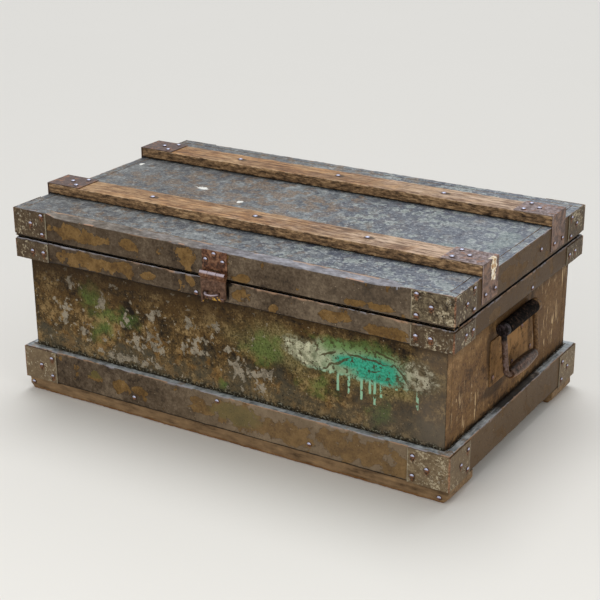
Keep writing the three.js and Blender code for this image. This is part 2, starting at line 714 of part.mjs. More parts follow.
// The bail's rod runs down one arm, across the grip and up the other arm
class BailPath extends THREE.Curve {
  constructor(halfWidth, top, drop, bend) {
    super();
    this.halfWidth = halfWidth;
    this.top = top;
    this.drop = drop;
    this.bend = bend;
  }

  getPoint(t, target = new THREE.Vector3()) {
    const arm = this.drop - this.bend - this.top;
    const arc = (Math.PI / 2) * this.bend;
    const across = this.halfWidth - this.bend;
    const half = arm + arc + across;
    const side = t < 0.5 ? -1 : 1;
    const along = half * (1 - Math.abs(2 * t - 1));
    if (along < arm) {
      return target.set(0, side * this.halfWidth, -this.top - along);
    }
    if (along < arm + arc) {
      const angle = (along - arm) / this.bend;
      const y = this.halfWidth - this.bend * (1 - Math.cos(angle));
      return target.set(0, side * y, -this.top - arm - this.bend * Math.sin(angle));
    }
    return target.set(0, side * (half - along), -this.drop);
  }
}

function handleBail() {
  const path = new BailPath(eyeMiddle, HANDLE_EYE_RADIUS / 2, HANDLE_DROP, BAIL_BEND_RADIUS);
  const rod = new THREE.ExtrudeGeometry(roundSection(BAIL_ROD_RADIUS, 8), { steps: 44, extrudePath: path });
  const pieces = [rod];
  for (const { along } of LEFT_RIGHT) {
    const eye = rodAlongY(HANDLE_EYE_RADIUS, HANDLE_EYE_WIDTH, 20);
    const stub = rodAlongY(BAIL_ROD_RADIUS, BAIL_STUB_LENGTH, 12);
    pieces.push(eye.translate(0, along * eyeMiddle, 0));
    pieces.push(stub.translate(0, along * (eyeMiddle - BAIL_STUB_LENGTH / 2), 0));
  }
  return toGeometry(join(pieces));
}

// An iron sleeve on the bail's lower bar that swells towards its middle
function handleGrip() {
  const half = eyeMiddle - BAIL_BEND_RADIUS + WELD;
  const bore = BAIL_ROD_RADIUS + SEAT_GAP;
  const profile = [new THREE.Vector2(bore, half), new THREE.Vector2(bore, -half)];
  const rings = 8;
  for (let i = 0; i <= rings; i += 1) {
    const along = -1 + (2 * i) / rings;
    const swell = (GRIP_MIDDLE_RADIUS - GRIP_END_RADIUS) * Math.cos((along * Math.PI) / 2);
    profile.push(new THREE.Vector2(GRIP_END_RADIUS + swell, along * half));
  }
  profile.push(profile[0].clone());
  return new THREE.LatheGeometry(profile, 16);
}

function buildHandle(chest, name, turn) {
  const reach = CARCASS_LENGTH / 2 + SEAT_GAP + HANDLE_BARREL_RADIUS;
  const pinHeight = carcassTop - RIM_HEIGHT - HANDLE_BELOW_RIM;
  const handle = new THREE.Group();
  handle.position.set(reach * Math.cos(turn), 0, pinHeight);
  handle.rotation.z = turn;
  const bail = new THREE.Group();
  bail.rotation.y = -THREE.MathUtils.degToRad(HANDLE_LEAN);
  put(bail, `handle_bail_${name}`, handleBail(), handleIron, 0, 0, 0);
  put(bail, `handle_grip_${name}`, handleGrip(), gripIron, 0, 0, -HANDLE_DROP);
  const plate = new THREE.Mesh(handlePlate(), handleIron);
  plate.name = `handle_plate_${name}`;
  handle.add(plate);
  handle.add(bail);
  chest.add(handle);
}

const chest = new THREE.Group();
const lid = new THREE.Group();
lid.position.copy(lidHinge);
const hasp = new THREE.Group();
hasp.position.copy(haspPin);
chest.add(lid);
chest.add(hasp);

buildCarcass(chest);
buildBands(chest);
buildSkids(chest);
buildLidFrame(lid);
buildBattens(lid);
buildHinges(chest, lid);
buildHasp(chest, lid, hasp);
for (const { name, turn } of LEFT_RIGHT) {
  buildHandle(chest, name, turn);
}

export default chest;
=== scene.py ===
import math

import bmesh
import bpy
import numpy as np
from bpy.props import FloatProperty, FloatVectorProperty, PointerProperty
from mathutils import Matrix, Vector


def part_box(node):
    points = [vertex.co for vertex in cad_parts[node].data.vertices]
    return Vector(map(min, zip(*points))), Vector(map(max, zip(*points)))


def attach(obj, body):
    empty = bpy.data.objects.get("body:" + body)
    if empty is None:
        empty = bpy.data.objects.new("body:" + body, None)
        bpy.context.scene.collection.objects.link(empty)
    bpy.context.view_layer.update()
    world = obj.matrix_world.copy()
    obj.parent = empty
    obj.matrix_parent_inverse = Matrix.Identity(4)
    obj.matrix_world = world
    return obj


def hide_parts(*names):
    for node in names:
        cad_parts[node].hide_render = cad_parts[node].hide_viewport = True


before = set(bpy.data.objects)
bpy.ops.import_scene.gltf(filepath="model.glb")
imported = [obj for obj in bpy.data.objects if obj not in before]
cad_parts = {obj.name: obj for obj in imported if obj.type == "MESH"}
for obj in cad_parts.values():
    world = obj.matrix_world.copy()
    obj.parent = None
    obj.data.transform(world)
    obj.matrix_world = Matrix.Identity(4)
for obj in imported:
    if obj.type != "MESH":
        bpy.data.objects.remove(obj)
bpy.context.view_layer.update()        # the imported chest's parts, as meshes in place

bl_info = {
    "name": "Painted Travelling Chest",
    "version": (1, 0, 0),
    "blender": (4, 5, 0),
    "location": "3D View > Sidebar > Chest",
    "description": "Builds the boards, the iron fittings and the worn paint of a wooden travelling chest",
    "category": "Add Mesh",
}

MM = 0.001
SIDES = ("front", "right", "back", "left")
ENDS = ("left", "right")
CORNERS = {"front_right": 0, "back_right": 90, "back_left": 180, "front_left": -90}
MOST_CUTS = 99  # that one subdivision makes
DOWN = (0, 0, -1)

# Clearances and sheet sizes that the frame's pieces were made with
SEAT_GAP = 0.2 * MM
RUNNING_GAP = 0.3 * MM
SHEET = 1.6 * MM
NAIL_RISE = 2.6 * MM
BARREL = 12.5 * MM  # radius of the handles' rolled barrels

OUTER_LOW, OUTER_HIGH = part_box("lid_rail_front")[0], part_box("lid_rail_back")[1]
FRONT = OUTER_LOW.y
FRONT_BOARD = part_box("front_board")[0].y
HANDLE_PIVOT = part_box("handle_plate_right")[1].z - BARREL


def shade(red, green, blue):
    """A colour given as it shows on screen, from 0 to 255, as Blender's linear colour."""
    levels = [level / 255 for level in (red, green, blue)]
    return tuple(v / 12.92 if v <= 0.04045 else ((v + 0.055) / 1.055) ** 2.4 for v in levels)


def linear(colour):
    """A colour's linear levels. Three whole numbers are levels on screen."""
    return shade(*colour) if all(isinstance(level, int) for level in colour) else tuple(colour)


# Sizes and colours that a user would change


def length(name, description, millimetres, least=0.0, most=1000.0):
    return FloatProperty(
        name=name, description=description, default=millimetres * MM, min=least * MM, max=most * MM,
        unit="LENGTH", precision=4)


def angle(name, description, radians):
    return FloatProperty(name=name, description=description, default=radians, subtype="ANGLE")


def paint(name, description, *levels):
    return FloatVectorProperty(
        name=name, description=description, default=shade(*levels), subtype="COLOR", size=3, min=0, max=1)


class ChestSizes(bpy.types.PropertyGroup):
    """Sizes of the worn edges, nails and mesh"""

    board_edge: length("Board edge", "How far the boards' sharp edges are rounded", 1, 0.2, 5)
    edge_wear: length("Edge wear", "How deep the boards' edges are rubbed away", 0.8, 0, 6)
    board_waves: length("Board waves", "How far the boards' faces rise and fall", 0.45, 0, 3)
    board_step: length("Board mesh step", "Length of one face on the boards", 5.5, 2, 30)
    iron_step: length("Iron mesh step", "Length of one face on the sheet iron", 2.6, 1, 20)
    iron_dents: length("Iron dents", "How far the sheet iron is bent out of true", 0.5, 0, 2)
    nail_radius: length("Nail head radius", "Radius of the domed nail heads", 4.6, 2, 8)


class ChestColours(bpy.types.PropertyGroup):
    """Main colours of the paint, wood and iron"""

    band_dark: paint("Band paint", "Grey-brown paint of the rim, the plinth and the lid's sides", 76, 62, 47)
    band_light: paint("Rubbed band paint", "The same paint where it is rubbed paler", 96, 82, 66)
    undercoat: paint("Undercoat", "Ochre coat that shows where the paint has gone", 106, 80, 43)
    worn_edge: paint("Worn edge", "Bare wood along the upper edges", 174, 140, 114)
    panel_dark: paint("Front paint", "Dark olive brown of the front board", 64, 50, 29)
    end_paint: paint("End paint", "Brown of the two end boards", 124, 94, 60)
    lichen: paint("Pale blotches", "Whitish stains on the front board", 154, 144, 126)
    moss: paint("Green stains", "Green stains on the front board", 86, 112, 52)
    teal: paint("Teal paint", "Spilled teal paint at the front board's right", 62, 170, 140)
    cream: paint("Cream paint", "Spilled cream paint round the teal", 204, 202, 172)
    lid_paint: paint("Lid paint", "Grey paint of the lid's top", 112, 116, 118)
    lid_crack: paint("Lid cracks", "Dark blue-grey in the cracks of the lid's paint", 86, 92, 100)
    batten: paint("Batten wood", "Bare golden-brown wood of the lid's battens", 166, 132, 96)
    iron: paint("Plate iron", "Painted sheet iron of the corner plates", 100, 88, 68)
    rust: paint("Rust", "Rust of the straps and the hasp", 100, 64, 44)
    handle: paint("Handle iron", "Black iron of the handles", 28, 21, 18)


class ChestStage(bpy.types.PropertyGroup):
    """The camera, the lamps and the floor"""

    eye: FloatVectorProperty(
        name="Camera place", description="Where the camera stands",
        subtype="TRANSLATION", size=3, unit="LENGTH", default=(1.3085, -2.1182, 1.1617))
    turn: angle("Camera turn", "Turn of the camera about the vertical, from +Y towards -X", 0.5529)
    pitch: angle("Camera pitch", "Pitch of the camera, negative when it looks down", -0.3757)
    roll: angle("Camera roll", "Roll of the camera about its own line of sight", -0.007)
    lens: FloatProperty(
        name="Lens", description="Focal length in millimetres on a sensor 36 mm wide", default=84.88, min=10)
    top_light: FloatProperty(
        name="Top light", description="Strength of the broad light from above", default=1.5, min=0)
    top_spread: angle("Top spread", "How wide the light from above looks from the chest", math.radians(35))
    top_tilt: angle("Top tilt", "How far the light from above leans to the front left", math.radians(18))
    side_lamp: FloatProperty(
        name="Side lamps", description="Power of the two soft lamps beside the chest",
        default=14, min=0, unit="POWER")
    sky: FloatProperty(
        name="Sky", description="Strength of the even light from all round", default=0.5, min=0)
    backdrop: FloatProperty(
        name="Backdrop", description="How bright the background looks behind the floor",
        default=0.74, min=0, max=1)
    floor_colour: paint("Floor", "Pale colour of the floor", 224, 222, 217)


def sizes():
    return bpy.context.scene.chest_sizes


def colours():
    return bpy.context.scene.chest_colours


# Shaping pieces by hand


def clear_selection():
    bpy.ops.object.select_all(action="DESELECT")


def make_active(piece):
    clear_selection()
    piece.select_set(True)
    bpy.context.view_layer.objects.active = piece


def named(piece, name):
    piece.name = name
    piece.data.name = name
    return piece


def added(name):
    """The primitive that was just added, named, with its place and turn in its mesh."""
    bpy.ops.object.transform_apply(location=True, rotation=True, scale=True)
    return named(bpy.context.object, name)


def add_block(name, low, high):
    clear_selection()
    low, high = Vector(low), Vector(high)
    bpy.ops.mesh.primitive_cube_add(size=1, location=(low + high) / 2, scale=high - low)
    return added(name)


def add_rod(name, radius, length, centre, along, sides):
    """A closed round bar whose axis runs along X or Y."""
    clear_selection()
    turn = {"X": (0, math.pi / 2, 0), "Y": (math.pi / 2, 0, 0)}[along]
    bpy.ops.mesh.primitive_cylinder_add(
        vertices=sides, radius=radius, depth=length, location=centre, rotation=turn)
    return added(name)


def open_shape(piece, kind, action="DESELECT"):
    """Edit mode with nothing or everything selected. Kind is VERT, EDGE or FACE."""
    make_active(piece)
    bpy.ops.object.mode_set(mode="EDIT")
    bpy.ops.mesh.select_mode(type=kind)
    bpy.ops.mesh.select_all(action=action)


def close_shape():
    bpy.ops.object.mode_set(mode="OBJECT")


def pick(piece, test):
    """Select the points, edges or faces that pass the test, and nothing else."""
    bpy.ops.mesh.select_all(action="DESELECT")
    mesh = bmesh.from_edit_mesh(piece.data)
    points, edges, _ = bpy.context.tool_settings.mesh_select_mode
    for item in mesh.verts if points else mesh.edges if edges else mesh.faces:
        if test(item):
            item.select_set(True)
    mesh.select_flush_mode()
    bmesh.update_edit_mesh(piece.data)


def middle(edge):
    return (edge.verts[0].co + edge.verts[1].co) / 2


def runs_along(edge, axis):
    """True for an edge parallel to X (0), Y (1) or Z (2)."""
    step = edge.verts[1].co - edge.verts[0].co
    return abs(step[axis]) > 0.98 * step.length


def slice_along(piece, step, *axes):
    """Cut the long edges that run along each axis until each is about one step long."""
    for axis in axes:
        open_shape(piece, "EDGE")
        for _ in range(4):
            mesh = bmesh.from_edit_mesh(piece.data)
            longest = max((e.calc_length() for e in mesh.edges if runs_along(e, axis)), default=0)
            if longest < 1.5 * step:
                break
            pick(piece, lambda edge: runs_along(edge, axis) and edge.calc_length() > 1.5 * step)
            bpy.ops.mesh.subdivide(number_cuts=max(1, min(MOST_CUTS, round(longest / step) - 1)))
        close_shape()


def round_edges(piece, width, segments=2, test=lambda edge: True):
    """Round the sharp edges that pass the test."""
    open_shape(piece, "EDGE")
    pick(piece, lambda edge: edge.calc_face_angle(0) > math.radians(30) and test(edge))
    bpy.ops.mesh.bevel(offset=width, segments=segments, affect="EDGES")
    close_shape()


def cut_through(piece, point, normal, clear=False):
    """Bisect the whole piece by a plane, and drop what lies beyond it if asked."""
    open_shape(piece, "EDGE", "SELECT")
    bpy.ops.mesh.bisect(plane_co=point, plane_no=normal, use_fill=clear, clear_outer=clear)
    close_shape()


def lower_points(piece, test, drop):
    """Move the points that pass the test straight down."""
    open_shape(piece, "VERT")
    pick(piece, test)
    bpy.ops.transform.translate(value=(0, 0, -drop))
    close_shape()


def extrude(*move):
    bpy.ops.mesh.extrude_region_move(TRANSFORM_OT_translate={"value": move})


def extrude_faces(piece, test, *move):
    open_shape(piece, "FACE")
    pick(piece, test)
    extrude(*move)
    close_shape()


def sweep(name, radius, sides, place, turn, moves):
    """A closed bent rod: a disc that is extruded along each move, or spun round where one is a bend."""
    clear_selection()
    bpy.ops.mesh.primitive_circle_add(
        vertices=sides, radius=radius, location=place, rotation=turn, fill_type="NGON")
    rod = added(name)
    open_shape(rod, "FACE", "SELECT")
    for move in moves:
        if isinstance(move, dict):
            bpy.ops.mesh.spin(**move)
        else:
            extrude(*move)
    bpy.ops.mesh.select_all(action="SELECT")
    bpy.ops.mesh.remove_doubles(threshold=0.01 * MM)
    bpy.ops.mesh.normals_make_consistent(inside=False)
    close_shape()
    return rod


def joined(pieces):
    """Make one object of several, under the first one's name."""
    make_active(pieces[0])
    for piece in pieces[1:]:
        piece.select_set(True)
    bpy.ops.object.join()
    return bpy.context.object


def copied(piece, name):
    """A copy with a mesh of its own."""
    copy = piece.copy()
    copy.data = piece.data.copy()
    bpy.context.scene.collection.objects.link(copy)
    return named(copy, name)


def moved(piece, matrix):
    """Turn and move a piece, with its place kept in its mesh."""
    make_active(piece)
    piece.matrix_world = matrix
    bpy.ops.object.transform_apply(location=True, rotation=True, scale=True)
    return piece


def placing(location, turn_z=0.0, turn_y=0.0):
    """A place, with turns in degrees about Y first and then about Z."""
    about_z = Matrix.Rotation(math.radians(turn_z), 4, "Z")
    about_y = Matrix.Rotation(math.radians(turn_y), 4, "Y")
    return Matrix.Translation(Vector(location)) @ about_z @ about_y


def points_of(piece):
    places = np.empty(len(piece.data.vertices) * 3)
    piece.data.vertices.foreach_get("co", places)
    return places.reshape(-1, 3)


# Wear, dents and marks on a shaped piece


def noise_texture(size, contrast=1.0):
    name = f"clouds_{size:.4f}_{contrast:.1f}"
    texture = bpy.data.textures.get(name)
    if texture is None:
        texture = bpy.data.textures.new(name, "CLOUDS")
        texture.noise_scale = size
        texture.noise_depth = 2
        texture.contrast = contrast
    return texture


def push(piece, texture, strength, level=0.5, group="", direction="NORMAL"):
    """Move the surface by a texture. With a level of 1 it only sinks."""
    make_active(piece)
    wave = piece.modifiers.new("push", "DISPLACE")
    wave.texture = texture
    wave.strength = strength
    wave.mid_level = level
    wave.direction = direction
    if group:
        wave.vertex_group = group
    bpy.ops.object.modifier_apply(modifier=wave.name)


def weigh(piece, name, weights):
    """A vertex group with the given weights, kept in steps of a tenth."""
    group = piece.vertex_groups.new(name=name)
    tenths = np.rint(np.clip(weights, 0, 1) * 10).astype(int)
    for tenth in range(1, 11):
        chosen = np.nonzero(tenths == tenth)[0].tolist()
        if chosen:
            group.add(chosen, tenth / 10, "REPLACE")


def mark_values(piece, name, values=0.0):
    """Keep a number at each point, for the finish to read."""
    marks = np.full(len(piece.data.vertices), values, dtype=np.float32)
    piece.data.attributes.new(name, "FLOAT", "POINT").data.foreach_set("value", marks)


def mark_board(piece, low, high):
    """Keep each point's place in its board, so that the paint knows how near an edge it is."""
    places = points_of(piece)
    centre = (np.array(low) + np.array(high)) / 2
    half = (np.array(high) - np.array(low)) / 2
    for name, vectors in (("board_place", places - centre), ("board_half", np.tile(half, (len(places), 1)))):
        attribute = piece.data.attributes.new(name, "FLOAT_VECTOR", "POINT")
        attribute.data.foreach_set("vector", vectors.astype(np.float32).ravel())


def wear_board(piece, low, high, depth=1.0):
    """Let a board's faces sink in waves, and rub and chip its edges."""
    push(piece, noise_texture(70 * MM), sizes().board_waves, level=1)
    places = points_of(piece)
    sides = np.minimum(places - np.array(low), np.array(high) - places)
    weigh(piece, "edges", 1 - np.sort(sides, axis=1)[:, 1] / (7 * MM))
    push(piece, noise_texture(34 * MM, contrast=1.4), 0.7 * depth * sizes().edge_wear, level=1, group="edges")
    push(piece, noise_texture(11 * MM, contrast=3.0), depth * sizes().edge_wear, level=1, group="edges")


def smooth(piece, degrees=35):
    make_active(piece)
    bpy.ops.object.shade_smooth_by_angle(angle=math.radians(degrees))


def give_finishes(piece, names, choose=lambda face: 0):
    """Give a piece its finishes. Choose gives the number of each face's finish."""
    piece.data.materials.clear()
    for name in names:
        piece.data.materials.append(finish(name))
    for face in piece.data.polygons:
        face.material_index = choose(face)


def settle(piece, body, slot, *nodes):
    """Seat a finished piece in the frame, in place of the nodes that it stands for."""
    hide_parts(*nodes)
    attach(piece, body)


# Finishes


class Field:
    """A number or colour that varies over a surface. Sums and products of fields are fields."""

    def __init__(self, finish, socket):
        self.finish = finish
        self.socket = socket

    def __add__(self, other):
        return self.finish.math("ADD", self, other)

    def __radd__(self, other):
        return self.finish.math("ADD", other, self)

    def __sub__(self, other):
        return self.finish.math("SUBTRACT", self, other)

    def __rsub__(self, other):
        return self.finish.math("SUBTRACT", other, self)

    def __mul__(self, other):
        return self.finish.math("MULTIPLY", self, other)

    def __abs__(self):
        return self.finish.math("ABSOLUTE", self, 0.0)

    def rise(self, start, end):
        """From 0 at the start to 1 at the end, smoothly. The start may be the larger."""
        return self.finish.node("ShaderNodeMapRange", {"Value": self, "From Min": start, "From Max": end},
                                interpolation_type="SMOOTHSTEP")

    def ragged(self, noise, reach):
        """A value that noise pushes up and down."""
        return self + (noise - 0.5) * reach

    def over(self, other, amount, strength=1.0):
        """This colour, with another laid over it where the amount is high."""
        return self.finish.mix(amount * strength, self, other)


class Finish:
    """One material's nodes. Its patterns are read in the chest's own metres."""

    def __init__(self, name, **constants):
        self.material = bpy.data.materials.new(name)
        self.material.use_nodes = True
        self.nodes = self.material.node_tree.nodes
        self.links = self.material.node_tree.links
        self.nodes.clear()
        self.surface = self.nodes.new("ShaderNodeBsdfPrincipled")
        output = self.nodes.new("ShaderNodeOutputMaterial")
        self.links.new(self.surface.outputs["BSDF"], output.inputs["Surface"])
        for socket, value in constants.items():
            self.surface.inputs[socket.replace("_", " ")].default_value = value
        coordinates = self.nodes.new("ShaderNodeTexCoord").outputs
        self.place = Field(self, coordinates["Object"])
        self.facing = Field(self, coordinates["Normal"])

    def feed(self, socket, value):
        if isinstance(value, Field):
            self.links.new(value.socket, socket)
        elif socket.type == "RGBA":
            socket.default_value = (*linear(value), 1)
        else:
            socket.default_value = value

    def node(self, kind, inputs, output=0, **settings):
        """One output of a new node."""
        made = self.nodes.new(kind)
        for name, value in settings.items():
            setattr(made, name, value)
        for socket, value in inputs.items():
            self.feed(made.inputs[socket], value)
        return Field(self, made.outputs[output])

    def math(self, operation, first, second):
        return self.node("ShaderNodeMath", {0: first, 1: second}, operation=operation)

    def most(self, first, second):
        return self.math("MAXIMUM", first, second)

    def least(self, first, second):
        return self.math("MINIMUM", first, second)

    def vector(self, operation, first, second=(0, 0, 0)):
        return self.node("ShaderNodeVectorMath", {0: first, 1: second}, operation=operation)

    def length(self, vector):
        return self.node("ShaderNodeVectorMath", {0: vector}, "Value", operation="LENGTH")

    def split(self, vector):
        separated = self.node("ShaderNodeSeparateXYZ", {0: vector})
        return [Field(self, output) for output in separated.socket.node.outputs]

    def faces(self, axis):
        """1 where the surface faces along X (0), Y (1) or Z (2), either way."""
        return abs(self.split(self.facing)[axis]).rise(0.5, 0.8)

    def mix(self, amount, first, second):
        return self.node("ShaderNodeMix", {0: amount, 6: first, 7: second}, 2, data_type="RGBA")

    def ramp(self, value, *stops):
        """A colour between stops, each a position and a colour."""
        made = self.node("ShaderNodeValToRGB", {0: value})
        band = made.socket.node.color_ramp.elements
        while len(band) < len(stops):
            band.new(1)
        for element, (position, colour) in zip(band, stops):
            element.position = position
            element.color = (*linear(colour), 1)
        return made

    def stretched(self, x=1.0, y=1.0, z=1.0):
        """Coordinates in which a pattern is drawn out along the axes with small values."""
        return self.node("ShaderNodeMapping", {"Vector": self.place, "Scale": (x, y, z)})

    def noise(self, size, detail=4.0, rough=0.5, place=None):
        """Noise whose features are about this size in metres."""
        return self.node("ShaderNodeTexNoise", {
            "Vector": place or self.place, "Scale": 1 / size, "Detail": detail, "Roughness": rough})

    def warped(self, size, amount, place=None):
        """Coordinates pushed about, by this amount over features of this size."""
        place = place or self.place
        made = self.node("ShaderNodeTexNoise", {"Vector": place, "Scale": 1 / size, "Detail": 2.0}, 1)
        centred = self.vector("SUBTRACT", made, (0.5, 0.5, 0.5))
        pushed = self.node("ShaderNodeVectorMath", {0: centred, "Scale": amount}, operation="SCALE")
        return self.vector("ADD", place, pushed)

    def cells(self, size, feature, place=None):
        return self.node("ShaderNodeTexVoronoi", {"Vector": place or self.place, "Scale": 1 / size},
                         "Distance", feature=feature)

    def inside(self, centre, reach, tilt=0.0, place=None):
        """1 in the middle of a round field, 0 at its rim and below 0 outside."""
        local = self.node("ShaderNodeMapping", {
            "Vector": place or self.place, "Location": centre, "Scale": reach,
            "Rotation": (0, math.radians(tilt), 0)}, vector_type="TEXTURE")
        return 1.0 - self.length(local)

    def spots(self, places, plane=None, place=None):
        """The highest of several round fields, each given in millimetres.

        A spot on a front face is x, z and its half width and height, near the plane's y, and
        may have a tilt in degrees, down to the right. Without a plane it is x and y, on a
        level face."""
        field = None
        for along, across, wide, high, *tilt in places:
            if plane is None:
                centre, reach = (along * MM, across * MM, 0), (wide * MM, high * MM, 1e3)
            else:
                centre, reach = (along * MM, plane, across * MM), (wide * MM, 60 * MM, high * MM)
            spot = self.inside(centre, reach, sum(tilt), place)
            field = spot if field is None else self.most(field, spot)
        return field

    def attribute(self, name, output="Fac"):
        return self.node("ShaderNodeAttribute", {}, output, attribute_name=name)

    def edge_distance(self):
        """Millimetres from the nearest edge of the board, and the height over its middle."""
        local = self.attribute("board_place", "Vector")
        half = self.attribute("board_half", "Vector")
        x, y, z = self.split(self.vector("SUBTRACT", half, self.vector("ABSOLUTE", local)))
        second = self.most(self.least(x, y), self.least(self.most(x, y), z))
        return second * (1 / MM), self.split(local)[2] * (1 / MM)

    def outer_distance(self):
        """Millimetres inwards from the chest's four outer faces."""
        x, y, _ = self.split(self.vector("ABSOLUTE", self.place))
        return self.least(OUTER_HIGH.x - x, OUTER_HIGH.y - y) * (1 / MM)

    def dress(self, colour, roughness, height, metallic=0.0):
        """Feed the shader. The height is in millimetres."""
        for socket, value in (("Base Color", colour), ("Roughness", roughness), ("Metallic", metallic)):
            self.feed(self.surface.inputs[socket], value)
        bump = self.node("ShaderNodeBump", {"Height": height, "Distance": MM, "Strength": 1.0})
        self.feed(self.surface.inputs["Normal"], bump)
        return self.material


# Places of the paint's marks, in millimetres: x, z, half width, half height
OCHRE_ON_LID = (
    (-302, 338, 80, 16), (-186, 338, 24, 14), (-66, 338, 26, 20), (56, 322, 24, 9), (300, 322, 60, 8))
OCHRE_ON_RIM = (
    (-300, 287, 90, 17), (-198, 292, 28, 15), (-149, 289, 20, 10), (-61, 290, 24, 14), (52, 289, 24, 12),
    (118, 279, 12, 9), (235, 288, 46, 11), (330, 281, 70, 13))
OCHRE_ON_END = (
    (-66, 338, 36, 13), (-6, 334, 26, 9), (-194, 286, 18, 8), (-118, 287, 24, 7), (44, 281, 14, 6))
OCHRE_ON_PLINTH = (
    (-285, 62, 22, 14), (-222, 54, 22, 16), (-178, 57, 20, 8), (-46, 70, 24, 10), (16, 60, 60, 28),
    (84, 58, 60, 26), (140, 54, 54, 26), (200, 56, 50, 22), (280, 58, 84, 30), (350, 48, 40, 24))
GREEN_ON_PLINTH = ((36, 62, 66, 24), (-284, 68, 28, 12))
PALE_ON_FRONT = (
    (-342, 232, 14, 9), (-360, 176, 16, 30), (-315, 142, 18, 18), (-272, 207, 14, 18), (-217, 180, 14, 14),
    (-189, 142, 22, 22), (-150, 150, 24, 26), (-200, 106, 90, 12), (-74, 207, 18, 18), (-60, 165, 34, 18),
    (-20, 211, 16, 12), (36, 142, 30, 22), (72, 142, 22, 20), (76, 110, 14, 16), (-152, 205, 14, 16),
    (11, 174, 12, 12), (97, 143, 12, 12))
GREEN_ON_FRONT = (
    (-288, 210, 32, 34), (-250, 188, 60, 18), (-268, 153, 32, 28), (84, 190, 40, 26), (192, 146, 36, 24),
    (309, 128, 24, 30), (260, 240, 80, 16), (-5, 100, 16, 8))
SPILL_ON_FRONT = ((176, 202, 62, 26, 16), (230, 208, 66, 36), (292, 208, 84, 38), (374, 206, 46, 30))
TEAL_ON_FRONT = ((306, 202, 56, 30, 6), (254, 208, 36, 14))
SPILL_FOOT = 179
CRACKS_IN_SPILL = (
    (213, 214, 19, 2.4, -26), (286, 219, 46, 2.6, 4), (228, 199, 37, 2.2, -30), (352, 206, 22, 2.2, 50),
    (322, 232, 22, 2, 12), (300, 200, 16, 1.8, -20))
HAZE_ON_FRONT = ((120, 200, 130, 50), (300, 200, 150, 56))
# Painted shade in the notch beside the hasp, and the hasp strap's painted shadow below it
SHADE_BY_HASP = ((27, 307, 11, 9), (25, 292, 4, 24))
YELLOW_BY_HASP = ((0, 267, 22, 11),)
# The handle's shadow on the end walls, painted beside its arms and under its grip
HANDLE_SHADOW_ON_END = ((88, 210, 20, 54), (70, 128, 60, 14))

# Places on level faces: x, y, half width, half depth
WHITE_ON_LID = ((-421, 76, 6, 6), (-218, 2, 15, 7), (-107, -35, 7, 7))
BROWN_ON_LID = ((-90, 0, 300, 130), (120, -20, 160, 70), (-330, -30, 70, 60), (0, 215, 460, 40))
GREEN_ON_LID = ((408, 10, 22, 64), (330, -60, 22, 14))
# The right handle's shadow, painted on the ledge below it
HANDLE_SHADOW_ON_LEDGE = ((442, 10, 60, 104),)

# The filler on one strap, and the runs of paint below the spill: each one's x and its lower end
FILLER_PLACE = (0.452, -0.134, 0.372)
FILLER_REACH = (0.012, 0.011, 0.021)
DRIP_PLACES = (
    (232, 150), (253, 149), (277, 144), (293, 158), (302, 140), (314, 156), (342, 176), (381, 150))
DRIP_TOP = 184
DRIP_WIDTH = 2.6


def painted_seam_shadow(f):
    """Painted shadow of the seam along the foot of the lid's rails, thicker at the corners."""
    x, _, z = f.split(f.place)
    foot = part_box("lid_rail_front")[0].z
    corner = abs(x).rise(0.33, 0.4)
    top = foot + 1.4 * MM + corner * (3 * MM)
    above = z.ragged(f.noise(0.03, 4), 3 * MM) - top
    return above.rise(0.4 * MM, -0.4 * MM) * z.rise(foot - 0.25 * MM, foot - 0.05 * MM)


